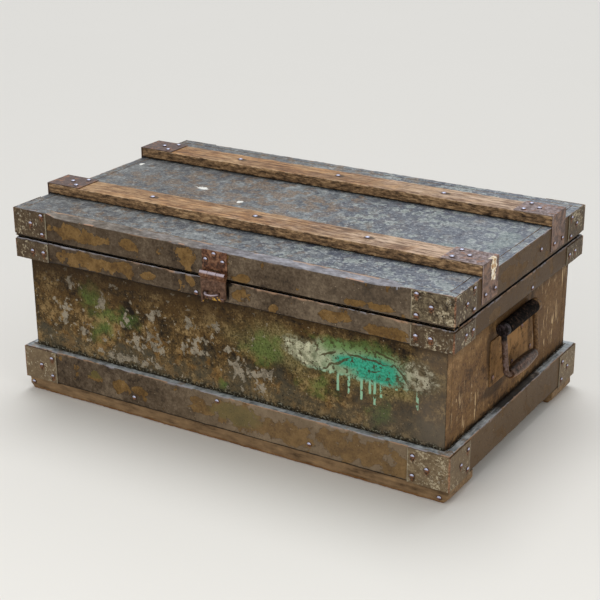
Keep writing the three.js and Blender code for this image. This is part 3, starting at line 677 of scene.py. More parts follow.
def band_finish():
    """Grey-brown paint that has gone in islands down to an ochre coat, with bare upper edges. Painted light:
    a highlight on faces that look up, and shade round the islands, on faces that look down, along the seam
    under the lid and by the hasp.
    """
    f = Finish("worn_band_paint", Specular_IOR_Level=0.13)
    c = colours()
    x, y, z = f.split(f.place)
    _, _, up = f.split(f.facing)
    side = f.faces(0)
    broad = f.noise(0.1, 3)
    mottle = f.noise(0.014, 7, 0.62)
    fine = f.noise(0.0042, 4, 0.6)
    tone = broad * 0.35 + mottle * 0.4 + fine * 0.25
    paint = f.ramp(tone, (0.39, (48, 38, 28)), (0.46, c.band_dark), (0.53, c.band_light),
                   (0.62, (124, 108, 88)))
    low_right = z.rise(0.12, 0.1) * x.rise(-0.2, 0.1)
    paint = paint.over((142, 122, 96), low_right, 0.42)
    high = z.rise(0.2, 0.25)
    paint = paint.over((58, 43, 26), high * x.rise(0.05, -0.3), 0.42)
    paint = paint.over((128, 114, 98), high * x.rise(0.05, 0.3), 0.16)
    placed = f.most(f.spots(OCHRE_ON_LID, FRONT), f.spots(OCHRE_ON_RIM, FRONT))
    placed = f.most(placed, f.spots(OCHRE_ON_PLINTH, FRONT))
    on_end = f.spots(OCHRE_ON_END, place=f.node("ShaderNodeCombineXYZ", {0: y, 1: z}))
    placed = f.most(placed, on_end - (1.0 - side) * 9)
    islands = f.noise(0.034, 9, 0.56, f.warped(0.012, 0.01)) + side * 0.03
    field = islands + placed.rise(-0.3, 0.6) * 0.2
    bare = field.rise(0.61, 0.616)
    ochre = f.ramp(f.noise(0.02, 5) * 0.6 + fine * 0.4, (0.36, (84, 61, 33)), (0.48, c.undercoat),
                   (0.66, (132, 103, 62)))
    green = (f.spots(GREEN_ON_PLINTH, FRONT) + mottle).rise(0.45, 0.9)
    ochre = ochre.over((92, 92, 52), green, 0.55)
    # A dark fringe round the islands is painted shade of the paint's raised edge.
    colour = paint.over((42, 32, 23), field.rise(0.585, 0.608), 0.5)
    colour = f.mix(bare, colour, ochre)
    colour = colour.over((150, 132, 110), low_right, 0.16)
    colour = colour.over((74, 50, 20), side, 0.66)
    colour = colour.over((34, 26, 20), f.noise(0.0034, 3).rise(0.6, 0.7), 0.5)
    colour = colour.over((186, 168, 142), f.noise(0.0036, 3, 0.5, f.stretched(1.3)).rise(0.7, 0.76), 0.6)
    distance, height = f.edge_distance()
    near_edge = distance + height.rise(4, -4) * 3
    worn = near_edge.ragged(f.noise(0.016, 6, 0.65), 9).rise(1.4, 0.6)
    # Crest: a painted highlight on faces that look up, drawn in the worn edge's colours. Worn is the real
    # bare wood along the edges.
    crest = up.rise(0.1, 0.35) * f.noise(0.02, 5, 0.6).rise(0.42, 0.5)
    by_hasp = x.rise(0.03, 0.036) * x.rise(0.24, 0.16) * z.rise(0.312, 0.31)
    rusty = f.noise(0.05, 5).rise(0.46, 0.56) + by_hasp
    bright = f.mix(f.least(rusty, 1.0), (158, 156, 164), c.worn_edge)
    colour = colour.over(bright, f.most(worn, crest) * (1.0 - side * 0.45), 0.9)
    # Faces that look down are painted near black as shade.
    colour = colour.over((12, 9, 7), up.rise(-0.15, -0.45))
    # Painted shadow of the seam under the lid.
    colour = colour.over((10, 8, 6), painted_seam_shadow(f))
    # Painted shade in the notch, and painted shadow beside the hasp's strap.
    colour = colour.over((14, 10, 8), f.spots(SHADE_BY_HASP, FRONT).rise(0.1, 0.5), 0.95)
    yellow = f.spots(YELLOW_BY_HASP, FRONT).ragged(f.noise(0.005, 5), 3)
    colour = colour.over((196, 152, 60), yellow.rise(0.3, 0.4), 0.9)
    level = bare * -0.2 + mottle * 0.3 + fine * 0.16 + worn * -0.2
    level = level + f.noise(0.005, 4, 0.5, f.stretched(1, 1, 0.15)) * 0.12
    return f.dress(colour, mottle * 0.35 + 0.32, level)


def ledge_finish():
    """The blue-grey tops of the plinth and rim: dusty, pale along the front, and dark at the wall with debris
    and painted shade. Under the lid they are painted black as shade, and the right handle's shadow is painted
    on the ledge below it.
    """
    f = Finish("blue_grey_ledge", Specular_IOR_Level=0.35)
    mottle = f.noise(0.009, 7, 0.65, f.stretched(0.6, 0.6))
    out_x, out_y, _ = f.split(f.vector("ABSOLUTE", f.place))
    on_end = (OUTER_HIGH.y - out_y - (OUTER_HIGH.x - out_x)).rise(-0.001, 0.001)
    streak = (f.noise(0.004, 4, 0.6, f.stretched(0.12, 1, 1)) * (1.0 - on_end)
              + f.noise(0.004, 4, 0.6, f.stretched(1, 0.12, 1)) * on_end)
    grains = f.noise(0.0045, 4, 0.6)
    colour = f.ramp(mottle * 0.55 + streak * 0.45, (0.38, (82, 86, 89)), (0.48, (138, 145, 149)),
                    (0.62, (192, 199, 203)))
    colour = colour.over((128, 106, 82), f.noise(0.04, 6, 0.6).rise(0.56, 0.6), 0.6)
    # Along the wall: debris with pale grains, dark as painted shade in the corner.
    inwards = f.outer_distance().ragged(f.noise(0.014, 7, 0.6), 8)
    debris_and_shade = f.mix(grains.rise(0.56, 0.62), (30, 30, 25), (168, 166, 152))
    colour = f.mix(inwards.rise(11.5, 13.5), colour, debris_and_shade)
    # The handle's painted shadow on the ledge.
    handle_shadow = f.spots(HANDLE_SHADOW_ON_LEDGE).ragged(mottle, 1.2)
    colour = colour.over((20, 17, 14), handle_shadow.rise(0.05, 0.3), 0.9)
    bright = f.mix(f.noise(0.05, 5).rise(0.46, 0.56), (164, 164, 174), colours().worn_edge)
    colour = colour.over(bright, inwards.rise(2.4, 1), 0.7)
    # The rim's top under the lid is painted black as shade.
    shade_under_lid = f.split(f.place)[2].rise(0.28, 0.3) * f.outer_distance().rise(1, 1.8)
    colour = colour.over((8, 6, 5), shade_under_lid)
    level = mottle * 0.3 + streak * 0.12 + grains * 0.1
    return f.dress(colour, mottle * 0.3 + 0.28, level)


def slope_finish():
    """The worn slope along the lid's front: lilac-grey, browner to the left, with an orange line above."""
    f = Finish("worn_lid_slope", Specular_IOR_Level=0.22)
    mottle = f.noise(0.01, 7, 0.62, f.stretched(0.35, 1, 1))
    fine = f.noise(0.004, 4, 0.6, f.stretched(0.4, 1, 1))
    x, y, _ = f.split(f.place)
    tone = mottle * 0.65 + fine * 0.35
    grey = f.ramp(tone, (0.36, (82, 80, 84)), (0.5, (126, 124, 130)), (0.64, (166, 166, 174)))
    brown = f.ramp(tone, (0.36, (70, 60, 50)), (0.5, (112, 104, 96)), (0.64, (150, 142, 134)))
    rubbed = x.ragged(f.noise(0.05, 4), 0.3).rise(-0.2, 0.1)
    colour = f.mix(rubbed, brown, grey)
    inwards = ((y - FRONT) * (1 / MM)).ragged(f.noise(0.02, 7), 7)
    broken = f.noise(0.04, 5, 0.6, f.stretched(0.6, 1, 1)).rise(0.46, 0.54)
    colour = colour.over((182, 146, 116), inwards.rise(13.4, 14.4) * broken, 0.65)
    chips = f.noise(0.03, 6, 0.6, f.stretched(0.6, 1, 1)).rise(0.56, 0.6)
    colour = colour.over((182, 140, 112), inwards.rise(3.4, 2) * chips, 0.8)
    return f.dress(colour, 0.28 + tone * 0.25, mottle * 0.35 + fine * 0.15)


def lid_finish():
    """Crackled, flaking blue-grey paint, navy in its cracks and brown where it has gone."""
    f = Finish("crackled_lid_paint", Specular_IOR_Level=0.24)
    c = colours()
    x, _, _ = f.split(f.place)
    flake = f.noise(0.015, 9, 0.64, f.warped(0.012, 0.012))
    fine = f.noise(0.0044, 5, 0.62)
    broad = f.noise(0.07, 4, 0.55)
    tone = flake * 0.55 + fine * 0.25 + broad * 0.2
    colour = f.ramp(tone, (0.38, (50, 57, 72)), (0.45, c.lid_crack), (0.5, c.lid_paint),
                    (0.56, (138, 143, 145)), (0.63, (176, 180, 178)))
    right = x.ragged(broad, 0.8).rise(0.0, 0.2)
    brown = f.noise(0.024, 9, 0.66) + f.spots(BROWN_ON_LID).rise(-0.3, 0.7) * 0.07
    colour = colour.over(f.mix(fine.rise(0.4, 0.6), (92, 78, 64), (146, 122, 98)),
                         brown.rise(0.53, 0.6) * (1.0 - right * 0.5), 0.75)
    blot = f.cells(0.023, "F1", f.warped(0.012, 0.022))
    chosen = right * f.noise(0.05, 6, 0.6).rise(0.44, 0.52)
    body = blot.rise(0.5, 0.42) * chosen
    ring = blot.rise(0.24, 0.38) * blot.rise(0.5, 0.44) * chosen
    gap = blot.ragged(fine, 0.3).rise(0.44, 0.56) * right
    colour = colour.over(f.mix(flake.rise(0.4, 0.6), (96, 106, 108), (146, 156, 152)), body, 0.6)
    colour = colour.over((176, 184, 180), ring * fine.rise(0.42, 0.52), 0.7)
    colour = colour.over((62, 70, 90), gap, 0.55)
    green = f.spots(GREEN_ON_LID).ragged(f.noise(0.03, 7, 0.6), 2)
    colour = colour.over((120, 136, 130), green.rise(0.0, 0.4), 0.55)
    colour = colour.over((70, 62, 52), x.ragged(broad, 0.6).rise(0.05, -0.3), 0.3)
    colour = colour.over((160, 168, 180), x.rise(0.1, 0.4), 0.22)
    scale = f.noise(0.0056, 6, 0.7, f.warped(0.01, 0.01))
    keen = 0.35 + right * 0.4
    colour = colour.over((44, 50, 66), scale.rise(0.45, 0.38) * keen)
    colour = colour.over((180, 186, 188), scale.rise(0.55, 0.62) * keen)
    speck = f.noise(0.0042, 3)
    colour = colour.over((184, 138, 100), speck.rise(0.7, 0.73), 0.7)
    colour = colour.over((206, 208, 204), speck.rise(0.29, 0.26), 0.7)
    flecks = f.spots(WHITE_ON_LID).ragged(f.noise(0.007, 4), 2)
    colour = f.mix(flecks.rise(0.1, 0.2), colour, (236, 236, 230))
    inwards = f.outer_distance()
    seam = inwards.rise(16.6, 17.6) * inwards.rise(19.2, 18.2)
    colour = colour.over((84, 78, 70), seam * flake.rise(0.45, 0.55), 0.4)
    edge = inwards.ragged(f.noise(0.02, 6), 8).rise(2.6, 1.2)
    colour = colour.over(f.mix(broad.rise(0.45, 0.55), (166, 166, 174), c.worn_edge), edge, 0.8)
    level = flake * 1.1 + fine * 0.35 + gap * -0.15 + ring * 0.12
    return f.dress(colour, 0.3 + flake * 0.35, level)


def drips(f):
    """Thin runs of paint below the spill."""
    x, _, z = f.split(f.place)
    field = None
    for place, end in DRIP_PLACES:
        across = abs(x - place * MM)
        wobble = (f.noise(0.012, 3) - 0.5) * (3 * MM)
        inside = (across + wobble).rise(DRIP_WIDTH * MM, 0.7 * DRIP_WIDTH * MM)
        below = z.rise((end - 1) * MM, (end + 1) * MM)
        run = inside * below
        field = run if field is None else f.most(field, run)
    gaps = f.noise(0.009, 4, 0.6).rise(0.62, 0.58)
    return field * gaps * z.rise((DRIP_TOP + 12) * MM, DRIP_TOP * MM)


def front_finish():
    """The front board: stained dark brown, pale and green blotches, and a crackled spill of paint, with
    painted shade under the rim and at the foot.
    """
    f = Finish("stained_front_paint", Specular_IOR_Level=0.1)
    c = colours()
    x, y, z = f.split(f.place)
    near = y.rise(FRONT_BOARD + 9 * MM, FRONT_BOARD + 4 * MM)
    broad = f.noise(0.06, 5, 0.6)
    mottle = f.noise(0.012, 8, 0.66)
    fine = f.noise(0.0038, 4, 0.6)
    tone = broad * 0.4 + mottle * 0.38 + fine * 0.22
    colour = f.ramp(tone, (0.41, (26, 18, 10)), (0.465, c.panel_dark), (0.52, (93, 72, 41)),
                    (0.58, (150, 125, 84)))
    low = z.ragged(broad, 0.2).rise(0.215, 0.165)
    flaked = f.noise(0.03, 8, 0.66).rise(0.53, 0.57) * x.rise(0.36, 0.2)
    colour = colour.over((120, 86, 42), flaked * (low * 0.4 + 0.06))
    smear = f.noise(0.02, 5, 0.6, f.stretched(0.2, 1, 1)).rise(0.45, 0.56)
    colour = colour.over((84, 60, 27), smear * (1.0 - low), 0.5)
    colour = colour.over((120, 114, 94), z.ragged(broad, 0.2).rise(0.15, 0.11), 0.28)
    haze = f.spots(HAZE_ON_FRONT, FRONT_BOARD).ragged(broad, 1.6).rise(-0.1, 0.7)
    colour = colour.over(f.mix(fine.rise(0.36, 0.64), (86, 80, 44), (140, 132, 90)), haze, 0.66)
    moss = f.spots(GREEN_ON_FRONT, FRONT_BOARD, f.warped(0.05, 0.07)).ragged(f.noise(0.02, 7, 0.64), 2.4)
    green = f.mix(fine.rise(0.34, 0.5), (66, 76, 36), c.moss)
    colour = colour.over(green, moss.rise(-0.3, 0.9), 0.66)
    patches = f.noise(0.016, 7, 0.6, f.warped(0.01, 0.01))
    field = (f.spots(PALE_ON_FRONT, FRONT_BOARD) * 0.4).ragged(patches, 2.4)
    scattered = f.noise(0.014, 5, 0.55).rise(0.64, 0.655)
    pale = f.most(field.rise(0.16, 0.21), scattered * x.rise(0.16, 0.06))
    powder = pale * (0.66 + fine.rise(0.36, 0.46) * 0.34)
    colour = colour.over(f.mix(mottle.rise(0.38, 0.56), (114, 105, 89), c.lichen), powder, 0.95)
    colour = colour.over((192, 178, 150), f.noise(0.0042, 4).rise(0.69, 0.73), 0.75)
    vein = abs(f.noise(0.024, 7, 0.62, f.warped(0.02, 0.02)) - 0.5)
    dark = f.most(f.noise(0.0046, 4, 0.6).rise(0.4, 0.34), vein.rise(0.012, 0.004) * 0.6)
    colour = colour.over((24, 17, 10), dark, 0.8)
    grey_corner = x.rise(0.2, 0.34) * z.ragged(broad, 0.1).rise(0.18, 0.15)
    colour = colour.over((82, 76, 68), grey_corner, 0.42)
    colour = colour.over((132, 118, 102), x.ragged(broad, 0.05).rise(0.36, 0.4), 0.3)
    foot = z.ragged(f.noise(0.012, 5, 0.6), 0.03).rise((SPILL_FOOT - 3) * MM, (SPILL_FOOT + 3) * MM)
    soft = f.spots(SPILL_ON_FRONT, FRONT_BOARD).ragged(f.noise(0.03, 6, 0.6), 0.8)
    spill = soft.rise(-0.08, 0.36) * foot
    chips = (f.noise(0.0085, 6, 0.7) + soft.rise(0.7, 0.0) * 0.07).rise(0.56, 0.585)
    right = x.ragged(broad, 0.1).rise(0.32, 0.38)
    crackle = f.cells(0.014, "DISTANCE_TO_EDGE", f.warped(0.016, 0.024))
    open_wide = 0.06 + x.rise(0.2, 0.36) * 0.08
    thin = crackle.ragged(f.noise(0.02, 6, 0.66), 0.4).rise(open_wide, 0.02)
    thin = thin * (f.noise(0.03, 5, 0.6).rise(0.42, 0.52) * (0.2 + right * 0.8))
    cracks = f.spots(CRACKS_IN_SPILL, FRONT_BOARD, f.warped(0.016, 0.012)).rise(0.0, 0.25)
    gone = f.most(thin * 0.85, f.most(cracks, chips))
    teal_field = f.spots(TEAL_ON_FRONT, FRONT_BOARD).ragged(f.noise(0.03, 6, 0.6), 1.2)
    cream = f.mix(mottle.rise(0.38, 0.64), (122, 122, 96), c.cream)
    cream = cream.over((126, 158, 122), x.rise(0.16, 0.25), 0.8)
    cream = cream.over(f.mix(mottle.rise(0.4, 0.58), (104, 92, 70), (170, 164, 142)), right)
    teal = f.mix(fine.rise(0.36, 0.6), (42, 132, 104), c.teal)
    spilled = f.mix(teal_field.rise(-0.15, 0.5), cream, teal)
    sprayed = z.ragged(broad, 0.04).rise(0.212, 0.234) * x.rise(0.17, 0.22)
    sprayed = sprayed * x.rise(0.37, 0.31)
    spilled = spilled.over((96, 128, 66), sprayed, 0.85)
    spilled = spilled.over((150, 204, 172), z.rise(0.186, 0.178), 0.6)
    film = f.most(spill * (1.0 - gone * 0.9), drips(f) * near)
    colour = f.mix(film, colour.over((48, 40, 26), spill, 0.65), spilled)
    # At the foot: debris with pale grains, dark as painted shade in the corner.
    grains = f.mix(fine.rise(0.54, 0.6), (42, 38, 29), (142, 140, 122))
    colour = colour.over(grains, z.ragged(mottle, 0.035).rise(0.1, 0.092), 0.85)
    # Painted shade under the rim, reaching further down on the left.
    colour = colour.over((40, 26, 10), z.ragged(broad, 0.04).rise(0.245, 0.266), 0.6)
    shaded = z.ragged(broad, 0.1).rise(0.19, 0.26) * x.rise(0.12, 0.0)
    colour = colour.over((42, 28, 13), shaded, 0.5 + x.rise(-0.1, -0.3) * 0.14)
    edges, _ = f.edge_distance()
    colour = colour.over((24, 18, 12), edges.rise(1.6, 0.9), 0.8)
    level = mottle * 0.55 + film * 0.22 + fine * 0.2 + powder * 0.1
    return f.dress(colour, mottle * 0.3 + film * -0.1 + 0.4, level)


def end_paint(f):
    """The mottled brown of the ends and of the handles' backplates."""
    c = colours()
    mottle = f.noise(0.011, 7, 0.66)
    fine = f.noise(0.0042, 4, 0.6)
    tone = f.noise(0.08, 5, 0.6) * 0.35 + mottle * 0.4 + fine * 0.25
    colour = f.ramp(tone, (0.38, (66, 47, 30)), (0.46, (106, 79, 52)), (0.53, c.end_paint),
                    (0.62, (162, 130, 92)))
    colour = colour.over((46, 32, 20), f.noise(0.0044, 4, 0.6).rise(0.38, 0.33), 0.65)
    return colour, mottle, fine


def end_finish():
    """Brown paint on the ends, with pale upright scratches and a few chips. Painted shade darkens it under
    the rim and at the foot, and the handle's shadow is painted on.
    """
    f = Finish("brown_end_paint", Specular_IOR_Level=0.08)
    _, y, z = f.split(f.place)
    colour, mottle, fine = end_paint(f)
    scratch_lines = f.noise(0.0056, 4, 0.6, f.stretched(1, 1, 0.08))
    far = y.ragged(f.noise(0.05, 4), 0.1).rise(0.08, 0.12)
    low = y.rise(-0.08, -0.12) * z.rise(0.2, 0.16)
    scratch = scratch_lines.rise(0.58, 0.62) * f.noise(0.045, 6, 0.66).rise(0.48, 0.54)
    scratch = scratch * (f.most(far, low) + 0.08)
    colour = colour.over((82, 57, 32), far, 0.52)
    colour = colour.over((196, 168, 128), scratch, 0.9)
    chip = f.noise(0.01, 6, 0.6, f.stretched(1, 1, 0.6)).rise(0.66, 0.68)
    colour = colour.over((166, 134, 92), chip, 0.8)
    edges, _ = f.edge_distance()
    colour = colour.over((50, 37, 26), edges.ragged(mottle, 8).rise(2.6, 1), 0.2)
    # Painted shade under the rim's overhang.
    colour = colour.over((42, 29, 18), z.ragged(mottle, 0.06).rise(0.24, 0.262), 0.6)
    # Painted shade at the foot, where the wall meets the ledge.
    colour = colour.over((24, 20, 16), z.ragged(mottle, 0.03).rise(0.1, 0.092), 0.8)
    # Painted shadow of the handle, beside its arms and under its grip.
    upright = f.node("ShaderNodeCombineXYZ", {0: abs(y), 1: z})
    handle_shadow = f.spots(HANDLE_SHADOW_ON_END, place=upright).ragged(mottle, 1.4)
    colour = colour.over((40, 29, 20), handle_shadow.rise(0.0, 0.4), 0.7)
    level = mottle * 0.35 + fine * 0.2 + scratch * -0.2 + chip * -0.15
    return f.dress(colour, 0.38 + mottle * 0.3, level)


def batten_finish():
    """Bare wood with grain along the batten, dark and streaked on its edges, with painted shade along the
    foot of its sides.
    """
    f = Finish("worn_batten_wood", Specular_IOR_Level=0.18)
    c = colours()
    x, _, _ = f.split(f.place)
    grain = f.noise(0.005, 7, 0.66, f.warped(0.05, 0.012, f.stretched(0.07, 1, 1)))
    dashes = f.noise(0.0068, 7, 0.7, f.stretched(0.22, 1, 1))
    pores = f.noise(0.0026, 4, 0.6, f.stretched(0.14, 1, 1))
    broad = f.noise(0.05, 4, 0.5, f.stretched(0.35, 1, 1))
    tone = grain * 0.35 + dashes * 0.45 + broad * 0.2
    colour = f.ramp(tone, (0.4, (84, 58, 38)), (0.46, (132, 98, 66)), (0.52, c.batten),
                    (0.61, (212, 178, 138)))
    warm = f.noise(0.045, 6, 0.6, f.stretched(0.4, 1, 1)).rise(0.48, 0.6)
    colour = colour.over(f.mix(tone.rise(0.44, 0.56), (108, 70, 40), (184, 132, 80)), warm, 0.5)
    grey = x.ragged(f.noise(0.03, 5), 0.8).rise(-0.1, 0.42)
    colour = colour.over(f.mix(tone.rise(0.44, 0.56), (122, 102, 88), (220, 200, 184)), grey, 0.55)
    colour = colour.over((66, 45, 30), pores.rise(0.57, 0.64), 0.6)
    side = f.faces(1)
    stains = f.noise(0.0046, 7, 0.72, f.stretched(0.3, 1, 1))
    blotches = f.noise(0.03, 5, 0.6, f.stretched(0.5, 1, 1))
    edge_tone = stains * 0.6 + grain * 0.25 + blotches * 0.15
    edge_colour = f.ramp(edge_tone, (0.4, (44, 32, 22)), (0.47, (98, 76, 54)), (0.53, (144, 114, 82)),
                         (0.61, (198, 164, 122)))
    colour = f.mix(side, colour, edge_colour)
    edges, height = f.edge_distance()
    rubbed = edges.ragged(f.noise(0.012, 5), 5).rise(1.7, 0.7)
    colour = colour.over((214, 184, 150), rubbed * height.rise(4, 8), 0.75)
    # Painted shade along the foot of the sides, where the batten meets the lid.
    colour = colour.over((20, 14, 10), height.ragged(stains, 5).rise(-6.6, -8.2), 0.85)
    colour = colour.over((36, 26, 21), f.attribute("halo").ragged(pores, 0.6).rise(0.18, 0.5), 0.85)
    level = grain * 0.4 + dashes * 0.35 + pores * 0.15
    return f.dress(colour, 0.36 + grain * 0.3, level)


def skid_finish():
    """Dark rubbed wood, with painted warm contact shade along its lower edge and painted shade along its top,
    under the plinth.
    """
    f = Finish("rubbed_skid_wood", Specular_IOR_Level=0.15)
    grain = f.noise(0.0045, 7, 0.62, f.stretched(0.08, 1, 1))
    mottle = f.noise(0.016, 7, 0.64, f.stretched(0.5, 1, 1))
    tone = grain * 0.45 + mottle * 0.55
    colour = f.ramp(tone, (0.36, (76, 58, 40)), (0.48, (124, 99, 71)), (0.58, (143, 116, 84)),
                    (0.66, (168, 132, 84)))
    _, _, z = f.split(f.place)
    # Painted warm contact shade along the lower edge.
    colour = colour.over((122, 78, 34), z.ragged(mottle, 0.01).rise(0.006, 0.002), 0.7)
    # Painted shade along the top, under the plinth.
    colour = colour.over((14, 10, 8), z.rise(0.0225, 0.0245), 0.9)
    return f.dress(colour, 0.55, grain * 0.5 + mottle * 0.3)


def inside_finish():
    """Bare, dusty softwood inside the chest and lid."""
    f = Finish("bare_inside_wood", Specular_IOR_Level=0.3)
    level = abs(f.split(f.facing)[2]).rise(0.4, 0.6)
    upright_grain = f.noise(0.006, 7, 0.6, f.warped(0.08, 0.02, f.stretched(0.07, 0.07, 1)))
    level_grain = f.noise(0.006, 7, 0.6, f.warped(0.08, 0.02, f.stretched(0.05, 1, 1)))
    grain = level_grain * level + upright_grain * (1.0 - level)
    dust = f.noise(0.012, 7, 0.66)
    colour = f.ramp(grain, (0.38, (104, 78, 50)), (0.5, (148, 118, 82)), (0.62, (174, 144, 106)))
    colour = f.mix(dust.rise(0.5, 0.62) * 0.4, colour, (112, 96, 76))
    return f.dress(colour, 0.72, grain * 0.5 + dust * 0.2)


def plate_finish():
    """Sheet iron under scratched khaki paint, with rust round its nails."""
    f = Finish("scratched_plate_iron", Specular_IOR_Level=0.18)
    c = colours()
    x, _, z = f.split(f.place)
    mottle = f.noise(0.012, 8, 0.66)
    fine = f.noise(0.0042, 5, 0.65)
    tone = mottle * 0.55 + fine * 0.45
    colour = f.ramp(tone, (0.38, (34, 27, 19)), (0.46, (72, 60, 44)), (0.53, c.iron),
                    (0.62, (140, 126, 100)))
    calm = f.most(f.faces(0), x.rise(0.1, -0.1))
    calm = f.most(calm, z.rise(0.26, 0.27) * z.rise(0.312, 0.308))
    colour = colour.over((74, 55, 36), calm, 0.3 + z.rise(0.1, 0.25) * 0.28)
    colour = colour.over((160, 136, 104), z.rise(0.12, 0.1), 0.3)
    flaking = f.noise(0.034, 5, 0.6, f.warped(0.02, 0.02)).ragged(f.noise(0.006, 6, 0.66), 0.9)
    pale = (flaking - calm * 0.06).rise(0.53, 0.58)
    colour = colour.over(f.mix(fine.rise(0.42, 0.58), (124, 108, 84), (196, 184, 156)), pale, 0.7)
    lines = f.noise(0.0046, 5, 0.6, f.warped(0.016, 0.03, f.stretched(1, 1, 0.8)))
    scratch = lines.rise(0.59, 0.63) * f.noise(0.026, 3).rise(0.48, 0.56)
    colour = colour.over((204, 198, 178), scratch, 0.42)
    rusted = f.attribute("halo").ragged(mottle, 0.9).rise(0.3, 0.75)
    colour = colour.over(f.mix(fine.rise(0.42, 0.56), (38, 25, 17), (116, 72, 40)), rusted, 0.9)
    rim = f.attribute("rim").ragged(mottle, 0.9).rise(0.62, 0.78)
    colour = colour.over((176, 168, 146), rim, 0.5)
    bend = f.attribute("bend").ragged(mottle, 0.9).rise(0.6, 0.9)
    colour = colour.over(f.mix(fine.rise(0.45, 0.55), (120, 66, 42), (170, 124, 94)), bend, 0.75)
    level = mottle * 0.45 + fine * 0.2 + rusted * -0.2 + scratch * 0.1
    return f.dress(colour, 0.34 + mottle * 0.35, level, metallic=tone.rise(0.52, 0.7) * 0.3)


def rust_finish(name, dark, main, light):
    """Rusted sheet iron in three shades, rubbed bright on its ridges."""
    f = Finish(name, Specular_IOR_Level=0.25)
    mottle = f.noise(0.01, 8, 0.68)
    fine = f.noise(0.004, 5, 0.62)
    tone = mottle * 0.6 + fine * 0.4
    colour = f.ramp(tone, (0.4, dark), (0.5, main), (0.6, light))
    ringed = f.attribute("halo").ragged(mottle, 0.8).rise(0.35, 0.8)
    colour = colour.over((44, 27, 19), ringed, 0.8)
    rim = f.attribute("rim").ragged(mottle, 0.6).rise(0.6, 0.85)
    colour = colour.over((190, 170, 164), rim, 0.6)
    return f, colour, 0.3 + mottle * 0.34, mottle * 0.45 + fine * 0.25


def strap_finish():
    """Lilac-brown batten straps with rusty sides, and a chip of old pale filler on one."""
    f, colour, rough, level = rust_finish(
        "lilac_strap_iron", (76, 58, 54), (124, 108, 106), (166, 152, 154))
    x, _, _ = f.split(f.place)
    colour = colour.over((72, 50, 41), x.rise(0.1, -0.1), 0.74)
    flecks = f.noise(0.011, 7, 0.66).rise(0.56, 0.6)
    colour = colour.over((158, 112, 80), flecks, 0.6)
    upright = f.faces(0)
    rust = f.mix(f.noise(0.012, 7, 0.66).rise(0.42, 0.58), (66, 44, 34), (132, 100, 78))
    colour = colour.over(rust, upright, 0.8)
    filler = f.inside(FILLER_PLACE, FILLER_REACH, place=f.warped(0.012, 0.012))
    chip = filler.ragged(f.noise(0.012, 6, 0.6), 2.4).rise(0.1, 0.18)
    pale = f.ramp(f.noise(0.006, 4), (0.42, (180, 140, 96)), (0.5, (224, 204, 170)), (0.6, (244, 236, 218)))
    colour = f.mix(chip, colour, pale)
    return f.dress(colour, rough, level + chip * 0.5, metallic=(1.0 - chip) * 0.2)


def hasp_finish():
    """Red-brown rust with a lilac-grey painted highlight on the upward faces that stand furthest forward, and
    a few yellow flecks.
    """
    f, colour, rough, level = rust_finish(
        "rusted_hasp_iron", (44, 27, 20), colours().rust, (140, 104, 78))
    _, y, z = f.split(f.place)
    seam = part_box("hasp_pin")[0].z
    loose = z.ragged(f.noise(0.01, 5), 0.012).rise(seam - 4 * MM, seam - 8 * MM)
    flat = f.ramp(f.noise(0.007, 7, 0.66), (0.4, (56, 37, 27)), (0.5, (86, 63, 49)), (0.6, (114, 88, 72)))
    colour = colour.over(flat, loose, 0.75)
    # Painted highlight on the upward faces that stand furthest forward.
    rubbed = y.rise(FRONT - 8 * MM, FRONT - 10 * MM) * f.split(f.facing)[2].rise(0.1, 0.7)
    colour = colour.over((196, 184, 194), rubbed, 0.85)
    fleck = f.spots(YELLOW_BY_HASP, FRONT).ragged(f.noise(0.005, 5), 3).rise(0.2, 0.3)
    colour = f.mix(fleck, colour, (206, 160, 66))
    return f.dress(colour, rough, level, metallic=(1.0 - fleck) * 0.25)


def hinge_finish():
    """Dark rusted iron of the two hinges at the back."""
    f, colour, rough, level = rust_finish(
        "rusted_hinge_iron", (40, 29, 24), (82, 60, 48), (122, 98, 84))
    return f.dress(colour, rough, level, metallic=(1.0 - f.attribute("halo")) * 0.3)


def nail_finish():
    """Domed iron heads with a painted highlight on top, rusty below and dark round the foot."""
    f = Finish("nail_iron_painted_highlight")
    crown = f.attribute("crown")
    mottle = f.noise(0.0024, 4, 0.6)
    _, _, up = f.split(f.facing)
    out_x, out_y, height = f.split(f.vector("ABSOLUTE", f.place))
    painted = out_x.rise(0.43, 0.434) * out_y.rise(0.095, 0.09) * height.rise(0.26, 0.25)
    # Painted highlight where the head looks up, near its crown.
    high = up.rise(-0.1, 0.4) * crown.rise(0.35, 0.6)
    bright = high.ragged(mottle, 0.5).rise(0.3, 0.6) * (1.0 - painted * 0.85)
    rust = f.mix(mottle.rise(0.4, 0.6), (64, 38, 25), (132, 86, 56))
    foot = crown.rise(0.36, 0.16)
    colour = f.mix(bright, rust, (178, 182, 206))
    colour = colour.over((18, 13, 11), foot)
    rough = 0.55 - bright * 0.25
    return f.dress(colour, rough, mottle * 0.15, metallic=bright * 0.35)


